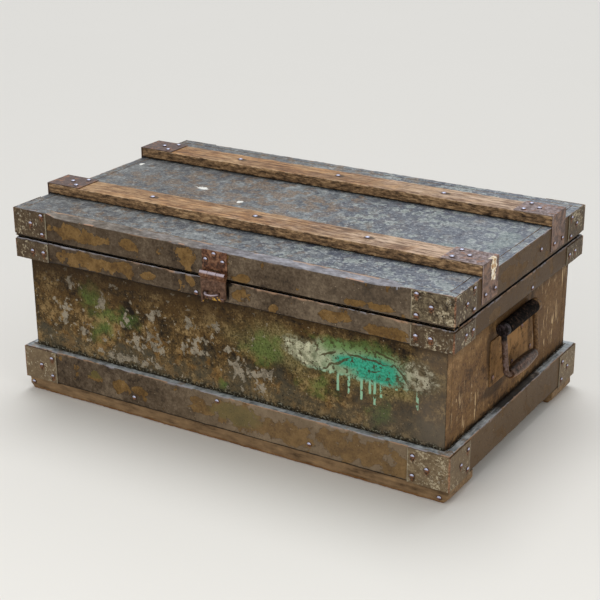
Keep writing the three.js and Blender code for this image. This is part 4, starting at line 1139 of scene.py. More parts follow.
def handle_finish():
    """Black iron, oiled and pitted, rubbed to brown, with the wall's paint on its far arm."""
    f = Finish("black_handle_iron", Specular_IOR_Level=0.15)
    _, y, z = f.split(f.place)
    pits = f.noise(0.0042, 5, 0.62)
    mottle = f.noise(0.014, 6, 0.64)
    tone = mottle * 0.5 + pits * 0.5
    colour = f.ramp(tone, (0.42, (8, 6, 6)), (0.52, (24, 18, 17)), (0.64, (78, 68, 72)))
    rubbed = f.ramp(tone, (0.4, (62, 45, 35)), (0.5, (92, 70, 56)), (0.62, (128, 110, 108)))
    hanging = z.ragged(mottle, 0.01).rise(HANDLE_PIVOT - 16 * MM, HANDLE_PIVOT - 22 * MM)
    colour = f.mix(hanging, colour, rubbed)
    painted = y.ragged(mottle, 0.02).rise(0.045, 0.055)
    colour = colour.over(f.mix(pits.rise(0.4, 0.6), (84, 62, 42), colours().end_paint), painted, 0.9)
    return f.dress(colour, 0.34 + pits * 0.3, pits * 0.6)


def grip_finish():
    """The handles' grips: hammered brown-black iron, with a painted warm reflection underneath and painted
    shade on top.
    """
    f = Finish("grip_iron_painted_light", Specular_IOR_Level=0.3)
    dents = f.cells(0.011, "SMOOTH_F1")
    pits = f.noise(0.0042, 5, 0.62)
    mottle = f.noise(0.012, 6, 0.64)
    _, _, up = f.split(f.facing)
    colour = f.ramp(mottle * 0.5 + pits * 0.5, (0.4, (26, 18, 13)), (0.5, (66, 45, 32)),
                    (0.62, (118, 94, 82)))
    # Painted warm reflection on the underside, and painted shade on the top.
    colour = colour.over((138, 94, 54), up.ragged(mottle, 1.2).rise(0.1, -0.5), 0.8)
    colour = colour.over((16, 11, 9), up.ragged(mottle, 0.8).rise(0.75, 0.95), 0.7)
    level = dents * 1.2 + pits * 0.5
    return f.dress(colour, 0.26 + pits * 0.25, level, metallic=0.3)


def backplate_finish():
    """The handles' backplates, painted with the wall but black round the barrel, with the arms' shadows
    painted beside them.
    """
    f = Finish("painted_backplate", Specular_IOR_Level=0.04)
    colour, mottle, fine = end_paint(f)
    colour = colour.over((164, 125, 82), mottle.rise(0.35, 0.55), 0.64)
    _, y, z = f.split(f.place)
    # Painted shadow of the bail's arms on the plate.
    beside = abs(y).ragged(mottle, 0.012).rise(0.066, 0.074)
    colour = colour.over((52, 37, 25), beside, 0.45)
    black = z.ragged(mottle, 0.008).rise(HANDLE_PIVOT - 17 * MM, HANDLE_PIVOT - 14 * MM)
    iron = f.ramp(mottle * 0.4 + fine * 0.6, (0.44, (6, 5, 4)), (0.54, colours().handle),
                  (0.64, (72, 54, 43)))
    colour = f.mix(black, colour, iron)
    holes = f.attribute("halo").ragged(mottle, 0.8).rise(0.4, 0.8)
    colour = colour.over((40, 28, 22), holes, 0.8)
    return f.dress(colour, 0.6 + black * 0.2, fine + mottle * 0.5)


FINISHES = {
    "band": band_finish, "ledge": ledge_finish, "slope": slope_finish, "lid": lid_finish,
    "front": front_finish, "end": end_finish, "batten": batten_finish, "skid": skid_finish,
    "inside": inside_finish, "plate": plate_finish, "strap": strap_finish, "hasp": hasp_finish,
    "hinge": hinge_finish, "nail": nail_finish, "handle": handle_finish, "grip": grip_finish,
    "backplate": backplate_finish,
}
_made = {}


def finish(name):
    """The material of one finish, made the first time it is asked for."""
    if name not in _made:
        _made[name] = FINISHES[name]()
    return _made[name]


# Nails

# Loose nails in the wood, in millimetres: x or y along the board, and the height
LOOSE_NAILS = {
    "plinth_front": ((-190, 41), (-4, 79), (186, 44)),
    "rim_front": ((-41, 278),),
    "rim_right": ((39, 279),),
    "lid_rail_right": ((70, 340),),
    "skid_front": ((-438, 14), (432, 9)),
}
HALO = 6.2 * MM    # how far rust spreads round a nail
HALO_RUN = 0.45    # below a nail, distances count for this much


def loose_nails(node):
    """The loose nails of one board, on its outer face."""
    low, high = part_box(node)
    found = []
    for along, height in LOOSE_NAILS.get(node, ()):
        if node.endswith("front"):
            found.append(((along * MM, low.y, height * MM), (0, -1, 0)))
        else:
            found.append(((high.x, along * MM, height * MM), (1, 0, 0)))
    return found


def nail_model():
    """A domed head standing up along Z, its foot a little below the origin."""
    radius = sizes().nail_radius
    clear_selection()
    bpy.ops.mesh.primitive_uv_sphere_add(segments=16, ring_count=12, radius=radius)
    head = added("nail_model")
    cut_through(head, (0, 0, -0.2 * radius), DOWN, clear=True)
    open_shape(head, "VERT", "SELECT")
    bpy.ops.transform.resize(value=(1, 1, NAIL_RISE / radius), center_override=(0, 0, 0))
    close_shape()
    mark_values(head, "crown", np.clip(points_of(head)[:, 2] / NAIL_RISE, 0, 1))
    give_finishes(head, ["nail"])
    smooth(head, 60)
    return head


def nails_at(nails):
    """Nail heads at the places given, each with the direction that it faces."""
    model = nail_model()
    heads = []
    for place, facing in nails:
        turn = Vector(facing).to_track_quat("Z", "Y").to_matrix().to_4x4()
        heads.append(moved(copied(model, "nail"), Matrix.Translation(Vector(place)) @ turn))
    bpy.data.objects.remove(model)
    return heads


def carried(nails, place):
    """Nails given round a model's origin, taken to the model's place."""
    return [(place @ Vector(spot), place.to_3x3() @ Vector(facing)) for spot, facing in nails]


def mark_iron(piece, nails, drip=DOWN):
    """Mark the rust round a piece's nails, which runs on in the drip's direction."""
    places = points_of(piece)
    halo = np.zeros(len(places))
    for place, _ in nails:
        away = places - np.array(place)
        along = away @ np.array(drip)
        aside = np.linalg.norm(away - np.outer(along, drip), axis=1)
        along = np.where(along > 0, along * HALO_RUN, along)
        halo = np.maximum(halo, np.exp(-((aside**2 + along**2) / HALO**2)))
    mark_values(piece, "halo", halo)


# The boards


def centre_of(node):
    low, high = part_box(node)
    return (low + high) / 2


def inwards_of(place):
    """How far a place lies inside the chest's four outer faces."""
    return min(OUTER_HIGH.x - abs(place.x), OUTER_HIGH.y - abs(place.y))


def on_rim(level):
    """A test for edges that lie along the chest's outer faces at this height."""
    def test(edge):
        place = middle(edge)
        return inwards_of(place) < 0.1 * MM and abs(place.z - level) < 0.1 * MM
    return test


def board(node, body, slot, finishes, choose=lambda face: 0, piece=None, step=None, edge=1.0, wear=1.0,
          crest=0, undercut=0):
    """A board in place of a node: rounded, sliced, worn and painted by face.

    Crest and undercut are bevels on its upper and lower outer edges."""
    low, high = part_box(node)
    piece = piece or add_block(f"{node}_dressed", low, high)
    if crest:
        round_edges(piece, crest, 4, on_rim(high.z))
    if undercut:
        round_edges(piece, undercut, 1, on_rim(low.z))
    round_edges(piece, edge * sizes().board_edge)
    slice_along(piece, step or sizes().board_step, 0, 1, 2)
    wear_board(piece, low, high, wear)
    mark_board(piece, low, high)
    give_finishes(piece, finishes, choose)
    smooth(piece)
    nails = loose_nails(node)
    if nails:
        piece = joined([piece, *nails_at(nails)])
    settle(piece, body, slot, node)
    return piece


def outward_or_inside(node):
    """Faces that look into the chest get the second finish."""
    centre = centre_of(node)
    axis = 0 if abs(centre.x) > abs(centre.y) else 1

    def choose(face):
        sideways = Vector((face.normal.x, face.normal.y, 0))
        if sideways.length < 0.5:
            return 1 if abs(face.normal.z) > 0.5 else 0
        return 0 if sideways[axis] * centre[axis] > 0 else 1

    return choose


class CHEST_OT_add_carcass(bpy.types.Operator):
    """Build the front, back, end and bottom boards"""

    bl_idname = "chest.add_carcass"
    bl_label = "Carcass Boards"

    def execute(self, context):
        for side in ("front", "back"):
            node = f"{side}_board"
            inwards = outward_or_inside(node)
            choose = lambda face: 2 if abs(face.normal.x) > 0.5 else inwards(face)
            board(node, "chest", "carcass_paint", ["front", "inside", "end"], choose, edge=0.2, wear=0.3)
        for end in ENDS:
            node = f"{end}_end_board"
            choose = outward_or_inside(node)
            board(node, "chest", "carcass_paint", ["end", "inside"], choose, edge=0.2, wear=0.3)
        board("bottom_board", "chest", "inside_wood", ["inside"], step=9 * MM, edge=0.6)
        return {"FINISHED"}


def top_or_side(face):
    """Level upper faces get the second finish."""
    return 1 if face.normal.z > 0.9 else 0


class CHEST_OT_add_bands(bpy.types.Operator):
    """Build the plinth and the rim round the carcass"""

    bl_idname = "chest.add_bands"
    bl_label = "Plinth and Rim"

    plinth_edge: length("Plinth edge", "Bevel on the plinth's upper outer edge", 1.8)
    rim_edge: length("Rim edge", "Bevel on the rim's upper outer edge", 1.3)
    lower_edge: length("Lower edge", "Bevel on both bands' lower outer edges", 1.8)
    notch: length("Notch", "Depth of the notch beside the hasp, in the rim's upper edge", 4)

    notch_ends = (18 * MM, 31 * MM)
    notch_floor = (21 * MM, 27 * MM)

    def cut_notch(self, piece, low, high):
        """Sink a short length of the rim's upper front edge."""
        for x in sorted((*self.notch_ends, *self.notch_floor)):
            cut_through(piece, (x, 0, 0), (1, 0, 0))
        cut_through(piece, (0, low.y + 2 * self.notch, 0), (0, 1, 0))
        left, right = self.notch_floor
        lower_points(piece, lambda v: left - MM < v.co.x < right + MM and v.co.y < low.y + MM
                     and v.co.z > high.z - MM, self.notch)

    def execute(self, context):
        for band, crest in (("plinth", self.plinth_edge), ("rim", self.rim_edge)):
            for side in SIDES:
                node = f"{band}_{side}"
                low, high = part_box(node)
                piece = add_block(f"{node}_boards", low, high)
                if node == "rim_front":
                    self.cut_notch(piece, low, high)
                board(node, "chest", "band_paint", ["band", "ledge"], top_or_side, piece, crest=crest,
                      undercut=self.lower_edge)
        return {"FINISHED"}


class CHEST_OT_add_skids(bpy.types.Operator):
    """Build the two runners under the chest"""

    bl_idname = "chest.add_skids"
    bl_label = "Skids"

    end_bevel: length("End bevel", "How much the lower end edges are cut off", 9)

    def execute(self, context):
        for side in ("front", "back"):
            node = f"skid_{side}"
            low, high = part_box(node)
            piece = add_block(f"{node}_runner", low, high)
            for end, x in ((-1, low.x), (1, high.x)):
                cut_through(piece, (x - end * self.end_bevel, 0, low.z), (end, 0, -1), clear=True)
            board(node, "chest", "skid_wood", ["skid"], piece=piece, edge=1.8)
        return {"FINISHED"}


class CHEST_OT_add_lid(bpy.types.Operator):
    """Build the lid's rails and panel, with the worn slope along its front"""

    bl_idname = "chest.add_lid"
    bl_label = "Lid Rails and Panel"

    slope_depth: length("Slope depth", "How far the worn slope reaches back over the lid", 16)
    slope_drop: length("Slope drop", "How far the lid's front edge is worn down", 6)
    lower_edge: length("Lower edge", "Bevel on the rails' lower outer edges, over the seam", 4)

    left_fade = 18 * MM    # over which the slope comes up beside each corner plate
    right_fade = 60 * MM

    def front_rail(self):
        low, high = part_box("lid_rail_front")
        piece = add_block("lid_rail_front_board", low, high)
        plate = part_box("lid_corner_plate_front_right")[0].x - 1 * MM
        upper = low.y + self.slope_depth
        cut_through(piece, (0, upper, 0), (0, 1, 0))
        for x in (-plate, -plate + self.left_fade, plate - self.right_fade, plate):
            cut_through(piece, (x, 0, 0), (1, 0, 0))
        inner = plate - 0.5 * MM
        lower_points(piece, lambda v: v.co.y < low.y + MM and v.co.z > high.z - MM and abs(v.co.x) < inner,
                     self.slope_drop)
        slice_along(piece, sizes().board_step, 0)
        places = points_of(piece)
        on_slope = (np.abs(places[:, 0]) < inner) & (places[:, 2] > high.z - self.slope_drop - 2 * MM)
        lower_line = on_slope & (places[:, 1] < low.y + MM)
        upper_line = on_slope & (np.abs(places[:, 1] - upper) < MM)
        weigh(piece, "lower_line", lower_line.astype(float))
        weigh(piece, "upper_line", upper_line.astype(float))
        push(piece, noise_texture(55 * MM, contrast=1.5), 2 * MM, group="lower_line", direction="Z")
        push(piece, noise_texture(80 * MM), 2 * MM, group="upper_line", direction="Y")
        return piece

    def execute(self, context):
        upper = FRONT + self.slope_depth + 4 * MM

        def slope_or_top(face):
            if 0.15 < -face.normal.y and 0.15 < face.normal.z and face.center.y < upper:
                return 2
            return 3 if face.normal.y > 0.5 or face.normal.z < -0.5 else top_or_side(face)

        def outside(choose):
            """Chosen as before, but the bevel under the outer faces stays painted."""
            def test(face):
                under = face.normal.z < -0.3 and inwards_of(face.center) < self.lower_edge
                return 0 if under else choose(face)
            return test

        board("lid_rail_front", "lid", "band_paint", ["band", "lid", "slope", "inside"],
              outside(slope_or_top), self.front_rail(), edge=0.5, undercut=self.lower_edge)
        for side in SIDES[1:]:
            node = f"lid_rail_{side}"
            inwards = outward_or_inside(node)
            choose = outside(lambda face: 1 if face.normal.z > 0.8 else 2 * inwards(face))
            board(node, "lid", "band_paint", ["band", "lid", "inside"], choose, undercut=self.lower_edge)
        board("lid_panel", "lid", "lid_top_paint", ["lid", "inside"],
              lambda face: 0 if face.normal.z > 0.5 else 1, edge=0.4, wear=0.2)
        return {"FINISHED"}


class CHEST_OT_add_battens(bpy.types.Operator):
    """Build the two battens on the lid and their nails"""

    bl_idname = "chest.add_battens"
    bl_label = "Battens"

    def execute(self, context):
        for side in ("front", "back"):
            node = f"lid_batten_{side}"
            low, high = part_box(node)
            piece = board(node, "lid", "batten_wood", ["batten"], piece=add_block(f"{node}_wood", low, high),
                          step=0.7 * sizes().board_step, edge=1.8, wear=0.8)
            nails = []
            for number in (1, 2, 3):
                centre = centre_of(f"batten_nail_{side}_{number}")
                nails.append(((centre.x, centre.y, high.z - 0.4 * MM), (0, 0, 1)))
            mark_iron(piece, nails, drip=(1, 0, 0))
            for number, head in enumerate(nails_at(nails), start=1):
                head.name = f"batten_nail_head_{side}_{number}"
                settle(head, "lid", "nail_steel", f"batten_nail_{side}_{number}")
        return {"FINISHED"}


# Sheet iron

BEND_RADIUS = 1.9 * MM    # round the outside of a bend


def bent_sheet(name, low, high, cut, flange, move, bend):
    """A strip of sheet iron, cut across at an x, whose flange is drawn out and its bend rounded."""
    piece = add_block(name, low, high)
    cut_through(piece, (cut, 0, 0), (1, 0, 0))
    extrude_faces(piece, flange, *move)
    round_edges(piece, BEND_RADIUS, 4, bend)
    slice_along(piece, sizes().iron_step, 0, 1, 2)
    return piece


def dress_iron(piece, nails, finish_name, body, slot, node, dents=1.0, rim=0.0, bend=0.0):
    """Dent a placed iron piece, mark its rust and add its nail heads."""
    push(piece, noise_texture(16 * MM), dents * sizes().iron_dents, level=1)
    mark_iron(piece, nails)
    mark_values(piece, "rim", rim)
    mark_values(piece, "bend", bend)
    give_finishes(piece, [finish_name])
    smooth(piece, 40)
    if nails:
        piece = joined([piece, *nails_at(nails)])
        push(piece, noise_texture(3 * MM), 0.25 * MM, level=1)
    settle(piece, body, slot, node)


def place_iron(piece, nails, place, finish_name, body, slot, node):
    """Move a modelled fitting to its place, with its nails, and dress it."""
    moved(piece, place)
    dress_iron(piece, carried(nails, place), finish_name, body, slot, node, dents=0.5)


class CHEST_OT_add_corner_plates(bpy.types.Operator):
    """Build the twelve bent iron plates on the corners of the lid, rim and plinth"""

    bl_idname = "chest.add_corner_plates"
    bl_label = "Corner Plates"

    leg: length("Leg", "Length of each leg of a plate", 76, 20)
    far_nail: length("Far nail", "From the corner to the far nails", 66)
    near_nail: length("Near nail", "From the corner to the near nail", 40)
    nail_spread: length("Nail spread", "The far nails' height over and under the middle", 18)
    lid_gap: length("Lid gap", "How far the lid's plates end above the rails' lower edge", 4.2)

    rim_width = 4 * MM     # of the rubbed rim along a leg's end
    bend_width = 7 * MM    # of the rust beside the bend

    def model(self, height):
        """A plate round the front right corner, which is the origin."""
        inner, outer = SEAT_GAP, SEAT_GAP + SHEET
        return bent_sheet(
            "plate_model", (-self.leg, -outer, -height / 2), (outer, -inner, height / 2), cut=inner,
            flange=lambda face: face.normal.y > 0.9 and face.calc_center_median().x > inner,
            move=(0, self.leg + inner, 0),
            bend=lambda e: runs_along(e, 2) and middle(e).x > inner and middle(e).y < -inner)

    def nails(self, levels):
        """Places and directions of one plate's nails."""
        outer = SEAT_GAP + SHEET
        spots = [(self.far_nail, level) for level in levels] + [(self.near_nail, 0)]
        front = [((-away, -outer, level), (0, -1, 0)) for away, level in spots]
        side = [((outer, away, level), (1, 0, 0)) for away, level in spots]
        return front + side

    def execute(self, context):
        for band, body in (("lid", "lid"), ("rim", "chest"), ("plinth", "chest")):
            low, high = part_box(f"{band}_corner_plate_front_right")
            if band == "lid":
                low = low + Vector((0, 0, self.lid_gap))
            model = self.model(high.z - low.z)
            places = points_of(model)
            reach = np.maximum(-places[:, 0], places[:, 1])
            rim = 1 - (self.leg - reach) / self.rim_width
            bend = 1 - np.hypot(places[:, 0] - SEAT_GAP, places[:, 1] + SEAT_GAP) / self.bend_width
            levels = (0,) if band == "rim" else (-self.nail_spread, self.nail_spread)
            for corner, turn in CORNERS.items():
                node = f"{band}_corner_plate_{corner}"
                along_x = 1 if "right" in corner else -1
                along_y = 1 if "back" in corner else -1
                place = placing((along_x * OUTER_HIGH.x, along_y * OUTER_HIGH.y, (low.z + high.z) / 2), turn)
                piece = moved(copied(model, f"{node}_sheet"), place)
                nails = carried(self.nails(levels), place)
                dress_iron(piece, nails, "plate", body, "corner_iron", node, rim=rim, bend=bend)
            bpy.data.objects.remove(model)
        return {"FINISHED"}


class CHEST_OT_add_batten_straps(bpy.types.Operator):
    """Build the four iron straps over the battens' ends"""

    bl_idname = "chest.add_batten_straps"
    bl_label = "Batten Straps"

    far_nail: length("Far nails", "From the bend to the two far nails on top", 61.3)
    near_nail: length("Near nail", "From the bend to the near nail on top", 38.8)
    side_nail: length("Side nails", "From the top down to the two nails on the side", 55)
    nail_spread: length("Nail spread", "How far paired nails lie from the strap's middle", 18.5)

    rim_width = 3 * MM    # of the rubbed rim

    def nails(self):
        """Places and directions of the nails. The origin is the middle of the bend's top."""
        spread = self.nail_spread
        top = ((-self.far_nail, spread), (-self.far_nail, -spread), (-self.near_nail, 0))
        side = [((0, y, -self.side_nail), (1, 0, 0)) for y in (spread, -spread)]
        return [((x, y, 0), (0, 0, 1)) for x, y in top] + side

    def execute(self, context):
        for side in ("front", "back"):
            for end in ENDS:
                node = f"batten_strap_{side}_{end}"
                low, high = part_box(node)
                top = high.z - NAIL_RISE
                outer = OUTER_HIGH.x + SEAT_GAP + SHEET
                reach = high.x - low.x - NAIL_RISE
                half = (high.y - low.y) / 2
                piece = bent_sheet(
                    f"{node}_sheet", (-reach, -half, -SHEET), (0, half, 0), cut=-SHEET,
                    flange=lambda face: face.normal.z < -0.9 and face.calc_center_median().x > -SHEET,
                    move=(0, 0, low.z - top + SHEET),
                    bend=lambda e: runs_along(e, 1) and middle(e).x > -MM and middle(e).z > -MM)
                places = points_of(piece)
                from_rim = np.minimum(reach + places[:, 0], half - np.abs(places[:, 1]))
                rim = 1 - from_rim / self.rim_width
                flip, turn = (1, 0) if end == "right" else (-1, 180)
                place = placing((flip * outer, (low.y + high.y) / 2, top), turn)
                moved(piece, place)
                dress_iron(piece, carried(self.nails(), place), "strap", "lid", "fitting_iron", node, rim=rim)
        return {"FINISHED"}


# Hinges and hasp


class HingeSize:
    """Sizes of a hinge, given in millimetres. Its pin lies along X at the origin, the wood on the -Y side."""

    def __init__(self, width, knuckles, radius, pin, thickness, height):
        self.width = width * MM
        self.radius = radius * MM
        self.pin = pin * MM
        self.bore = self.pin + RUNNING_GAP
        self.height = height * MM
        self.half = self.width / 2
        self.pitch = self.width / knuckles
        self.knuckle = self.pitch - RUNNING_GAP
        self.thickness = thickness * MM
        self.back = -self.radius
        self.face = self.back + self.thickness

    def knuckle_span(self, number):
        """The middle and the two ends of one knuckle, counted from 0."""
        centre = -self.half + (number + 0.5) * self.pitch
        return centre, centre - self.knuckle / 2, centre + self.knuckle / 2

    def nails(self, spots):
        """Nails on a leaf, each given by x and its height over the pin in millimetres."""
        return [((x * MM, self.face, z * MM), (0, 1, 0)) for x, z in spots]


def knuckle(size, centre=0.0):
    """A rolled tube along X: a bar whose ends are inset and bored through."""
    piece = add_rod("knuckle", size.radius, size.knuckle, (centre, 0, 0), "X", 28)
    open_shape(piece, "FACE")
    pick(piece, lambda face: abs(face.normal.x) > 0.9)
    bpy.ops.mesh.inset(thickness=size.radius - size.bore, use_individual=True)
    pick(piece, lambda face: abs(face.normal.x) > 0.9 and len(face.verts) > 8)
    bpy.ops.mesh.bridge_edge_loops()
    close_shape()

    def outer_rim(edge):
        away = max(math.hypot(v.co.y, v.co.z) for v in edge.verts)
        return away > 0.99 * size.radius and not runs_along(edge, 0)

    round_edges(piece, 0.5 * MM, test=outer_rim)
    return piece


def hinge_leaf(name, size, own, extras=()):
    """One leaf with its own knuckles and what else is welded to it."""
    clear = size.radius + RUNNING_GAP
    sheet = add_block(name, (-size.half, size.back, clear), (size.half, size.face, size.height))
    round_edges(sheet, 0.5 * MM)
    slice_along(sheet, sizes().iron_step, 0, 1, 2)
    pieces = [sheet]
    for number in own:
        centre, left, right = size.knuckle_span(number)
        pieces.append(add_block("tab", (left, size.back, 0), (right, size.face, clear + 1 * MM)))
        pieces.append(knuckle(size, centre))
    return joined([*pieces, *extras])


def pin(node, radius, body, slot, finish_name):
    """A pin with rounded ends in place of a pin node that runs along X."""
    low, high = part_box(node)
    piece = add_rod(f"{node}_rod", radius, high.x - low.x, centre_of(node), "X", 20)
    round_edges(piece, 0.8 * MM, 3)
    for mark in ("halo", "rim", "bend", "crown"):
        mark_values(piece, mark)
    give_finishes(piece, [finish_name])
    smooth(piece, 50)
    settle(piece, body, slot, node)


class CHEST_OT_add_hinges(bpy.types.Operator):
    """Build the two hinges at the back, with their stop lugs and ledges"""

    bl_idname = "chest.add_hinges"
    bl_label = "Hinges"

    opening: angle("Opening", "How far the lid opens before the lugs stop it", math.radians(100))
    lug_rest: angle("Lug rest", "The lugs' angle over the level when the lid is shut", math.radians(55))
    lug_reach: length("Lug reach", "From the pin to the end of a lug", 14)

    lug_half = 2 * MM        # half a lug's thickness
    ledge_reach = 4 * MM     # from the pin's axis to the ledge's outer edge
    ledge_height = 4 * MM
    leaf_nails = ((-24, 24), (24, 24))

    def lugs(self, size):
        """The lugs on the lid leaf's two knuckles."""
        half = self.lug_half
        found = []
        for number in (1, 3):
            _, left, right = size.knuckle_span(number)
            lug = add_block("lug", (left, size.bore + 1 * MM, -half), (right, self.lug_reach, half))
            round_edges(lug, 0.6 * MM)
            found.append(moved(lug, Matrix.Rotation(self.lug_rest, 4, "X")))
        return found

    def ledge(self, size):
        """The ledge that the lugs meet when the lid is open."""
        leaning = self.opening - self.lug_rest
        reach = self.ledge_reach
        top = (self.lug_half + RUNNING_GAP + reach * math.sin(leaning)) / math.cos(leaning)
        back = size.back + size.thickness / 2
        ledge = add_block("ledge", (-size.half, back, top), (size.half, reach, top + self.ledge_height))
        round_edges(ledge, 0.5 * MM)
        return ledge

    def execute(self, context):
        size = HingeSize(width=70, knuckles=5, radius=6, pin=2.5, thickness=2.5, height=34)
        nails = size.nails(self.leaf_nails)
        for end in ENDS:
            centre = centre_of(f"hinge_pin_{end}")
            for part, own, turn, body in (("lid", (1, 3), 0, "lid"), ("body", (0, 2, 4), 180, "chest")):
                node = f"hinge_{part}_leaf_{end}"
                extras = self.lugs(size) if part == "lid" else [self.ledge(size)]
                leaf = hinge_leaf(f"{node}_iron", size, own, extras)
                place_iron(leaf, nails, placing(centre, turn_y=turn), "hinge", body, "fitting_iron", node)
            pin(f"hinge_pin_{end}", size.pin, "chest", "nail_steel", "nail")
        return {"FINISHED"}


def underside_between(face, left, right):
    """True for a face that looks down and whose middle lies between two places along X."""
    return face.normal.z < -0.9 and left < face.calc_center_median().x < right


class CHEST_OT_add_hasp(bpy.types.Operator):
    """Build the hasp's leaf, its forked strap, its pin and the staple"""

    bl_idname = "chest.add_hasp"
    bl_label = "Hasp and Staple"

    slot_top: length("Slot top", "From the pin down to the top of the slot", 29.8)
    slot_width: length("Slot width", "Width of the slot that the staple comes through", 35)
    slot_offset: length("Slot offset", "How far the slot lies from the strap's middle", -3.5, -50)
    short_leg: length("Short leg", "From the pin down to the broken leg's end", 41)
    bow_radius: length("Bow radius", "Radius of the staple's bow, to the middle of its rod", 13)
    rod_radius: length("Rod radius", "Radius of the staple's rod", 2.6)

    strap_sheet = 3 * MM
    staple_plate = (46 * MM, 28 * MM)
    staple_drop = 35 * MM    # from the pin down to the staple
    leaf_nails = ((0, 36), (-17.5, 24), (17.5, 24))
    staple_nails = ((-18, -9), (18, -9))    # x and height over the plate's middle, in millimetres

    def leaf(self, size, pin_place):
        nails = size.nails(self.leaf_nails)
        leaf = hinge_leaf("hasp_lid_leaf_iron", size, (0, 2))
        place_iron(leaf, nails, placing(pin_place, 180), "hasp", "lid", "fitting_iron", "hasp_lid_leaf")

    def strap(self, size, pin_place):
        face = self.strap_sheet / 2
        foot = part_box("hasp_strap")[0].z - pin_place.z
        clear = -size.radius - RUNNING_GAP
        left, right = self.slot_offset - self.slot_width / 2, self.slot_offset + self.slot_width / 2
        plate = add_block("hasp_strap_iron", (-size.half, -face, -self.slot_top), (size.half, face, clear))
        for x in (left, right):
            cut_through(plate, (x, 0, 0), (1, 0, 0))
        extrude_faces(plate, lambda f: underside_between(f, -size.half, left),
                      0, 0, foot + self.slot_top)
        extrude_faces(plate, lambda f: underside_between(f, right, size.half),
                      0, 0, self.slot_top - self.short_leg)
        round_edges(plate, 0.6 * MM)
        slice_along(plate, sizes().iron_step, 0, 1, 2)
        tab = add_block("tab", (-size.knuckle / 2, -face, clear - 1 * MM), (size.knuckle / 2, face, 0))
        piece = joined([plate, tab, knuckle(size)])
        place_iron(piece, (), placing(pin_place), "hasp", "hasp", "fitting_iron", "hasp_strap")

    def staple(self, pin_place):
        low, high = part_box("hasp_staple")
        width, height = self.staple_plate
        plate = add_block("hasp_staple_iron", (-width / 2, -SHEET, -height / 2), (width / 2, 0, height / 2))
        round_edges(plate, 3 * MM, 3, lambda e: runs_along(e, 1))
        round_edges(plate, 0.4 * MM, 1, lambda e: not runs_along(e, 1))
        straight = high.y - low.y - self.rod_radius - self.bow_radius - SHEET / 2
        bow = {"steps": 18, "angle": -math.pi, "center": (0, -SHEET / 2 - straight, 0), "axis": (0, 0, 1)}
        rod = sweep("staple_rod", self.rod_radius, 14, (-self.bow_radius, -SHEET / 2, 0), (math.pi / 2, 0, 0),
                    [(0, -straight, 0), bow, (0, straight, 0)])
        nails = [((x * MM, -SHEET, z * MM), (0, -1, 0)) for x, z in self.staple_nails]
        place = placing((self.slot_offset, high.y, pin_place.z - self.staple_drop))
        place_iron(joined([plate, rod]), nails, place, "hasp", "chest", "fitting_iron", "hasp_staple")

    def execute(self, context):
        size = HingeSize(width=52, knuckles=3, radius=6.5, pin=2.6, thickness=2, height=42)
        pin_place = centre_of("hasp_pin")
        self.leaf(size, pin_place)
        self.strap(size, pin_place)
        self.staple(pin_place)
        pin("hasp_pin", size.pin, "lid", "fitting_iron", "hasp")
        return {"FINISHED"}


# Handles

# Nails of a handle's backplate, in millimetres: y and the height over the pivot
BACKPLATE_NAILS = ((-80, -86), (0, -86), (80, -86), (38, -32), (-38, -32))


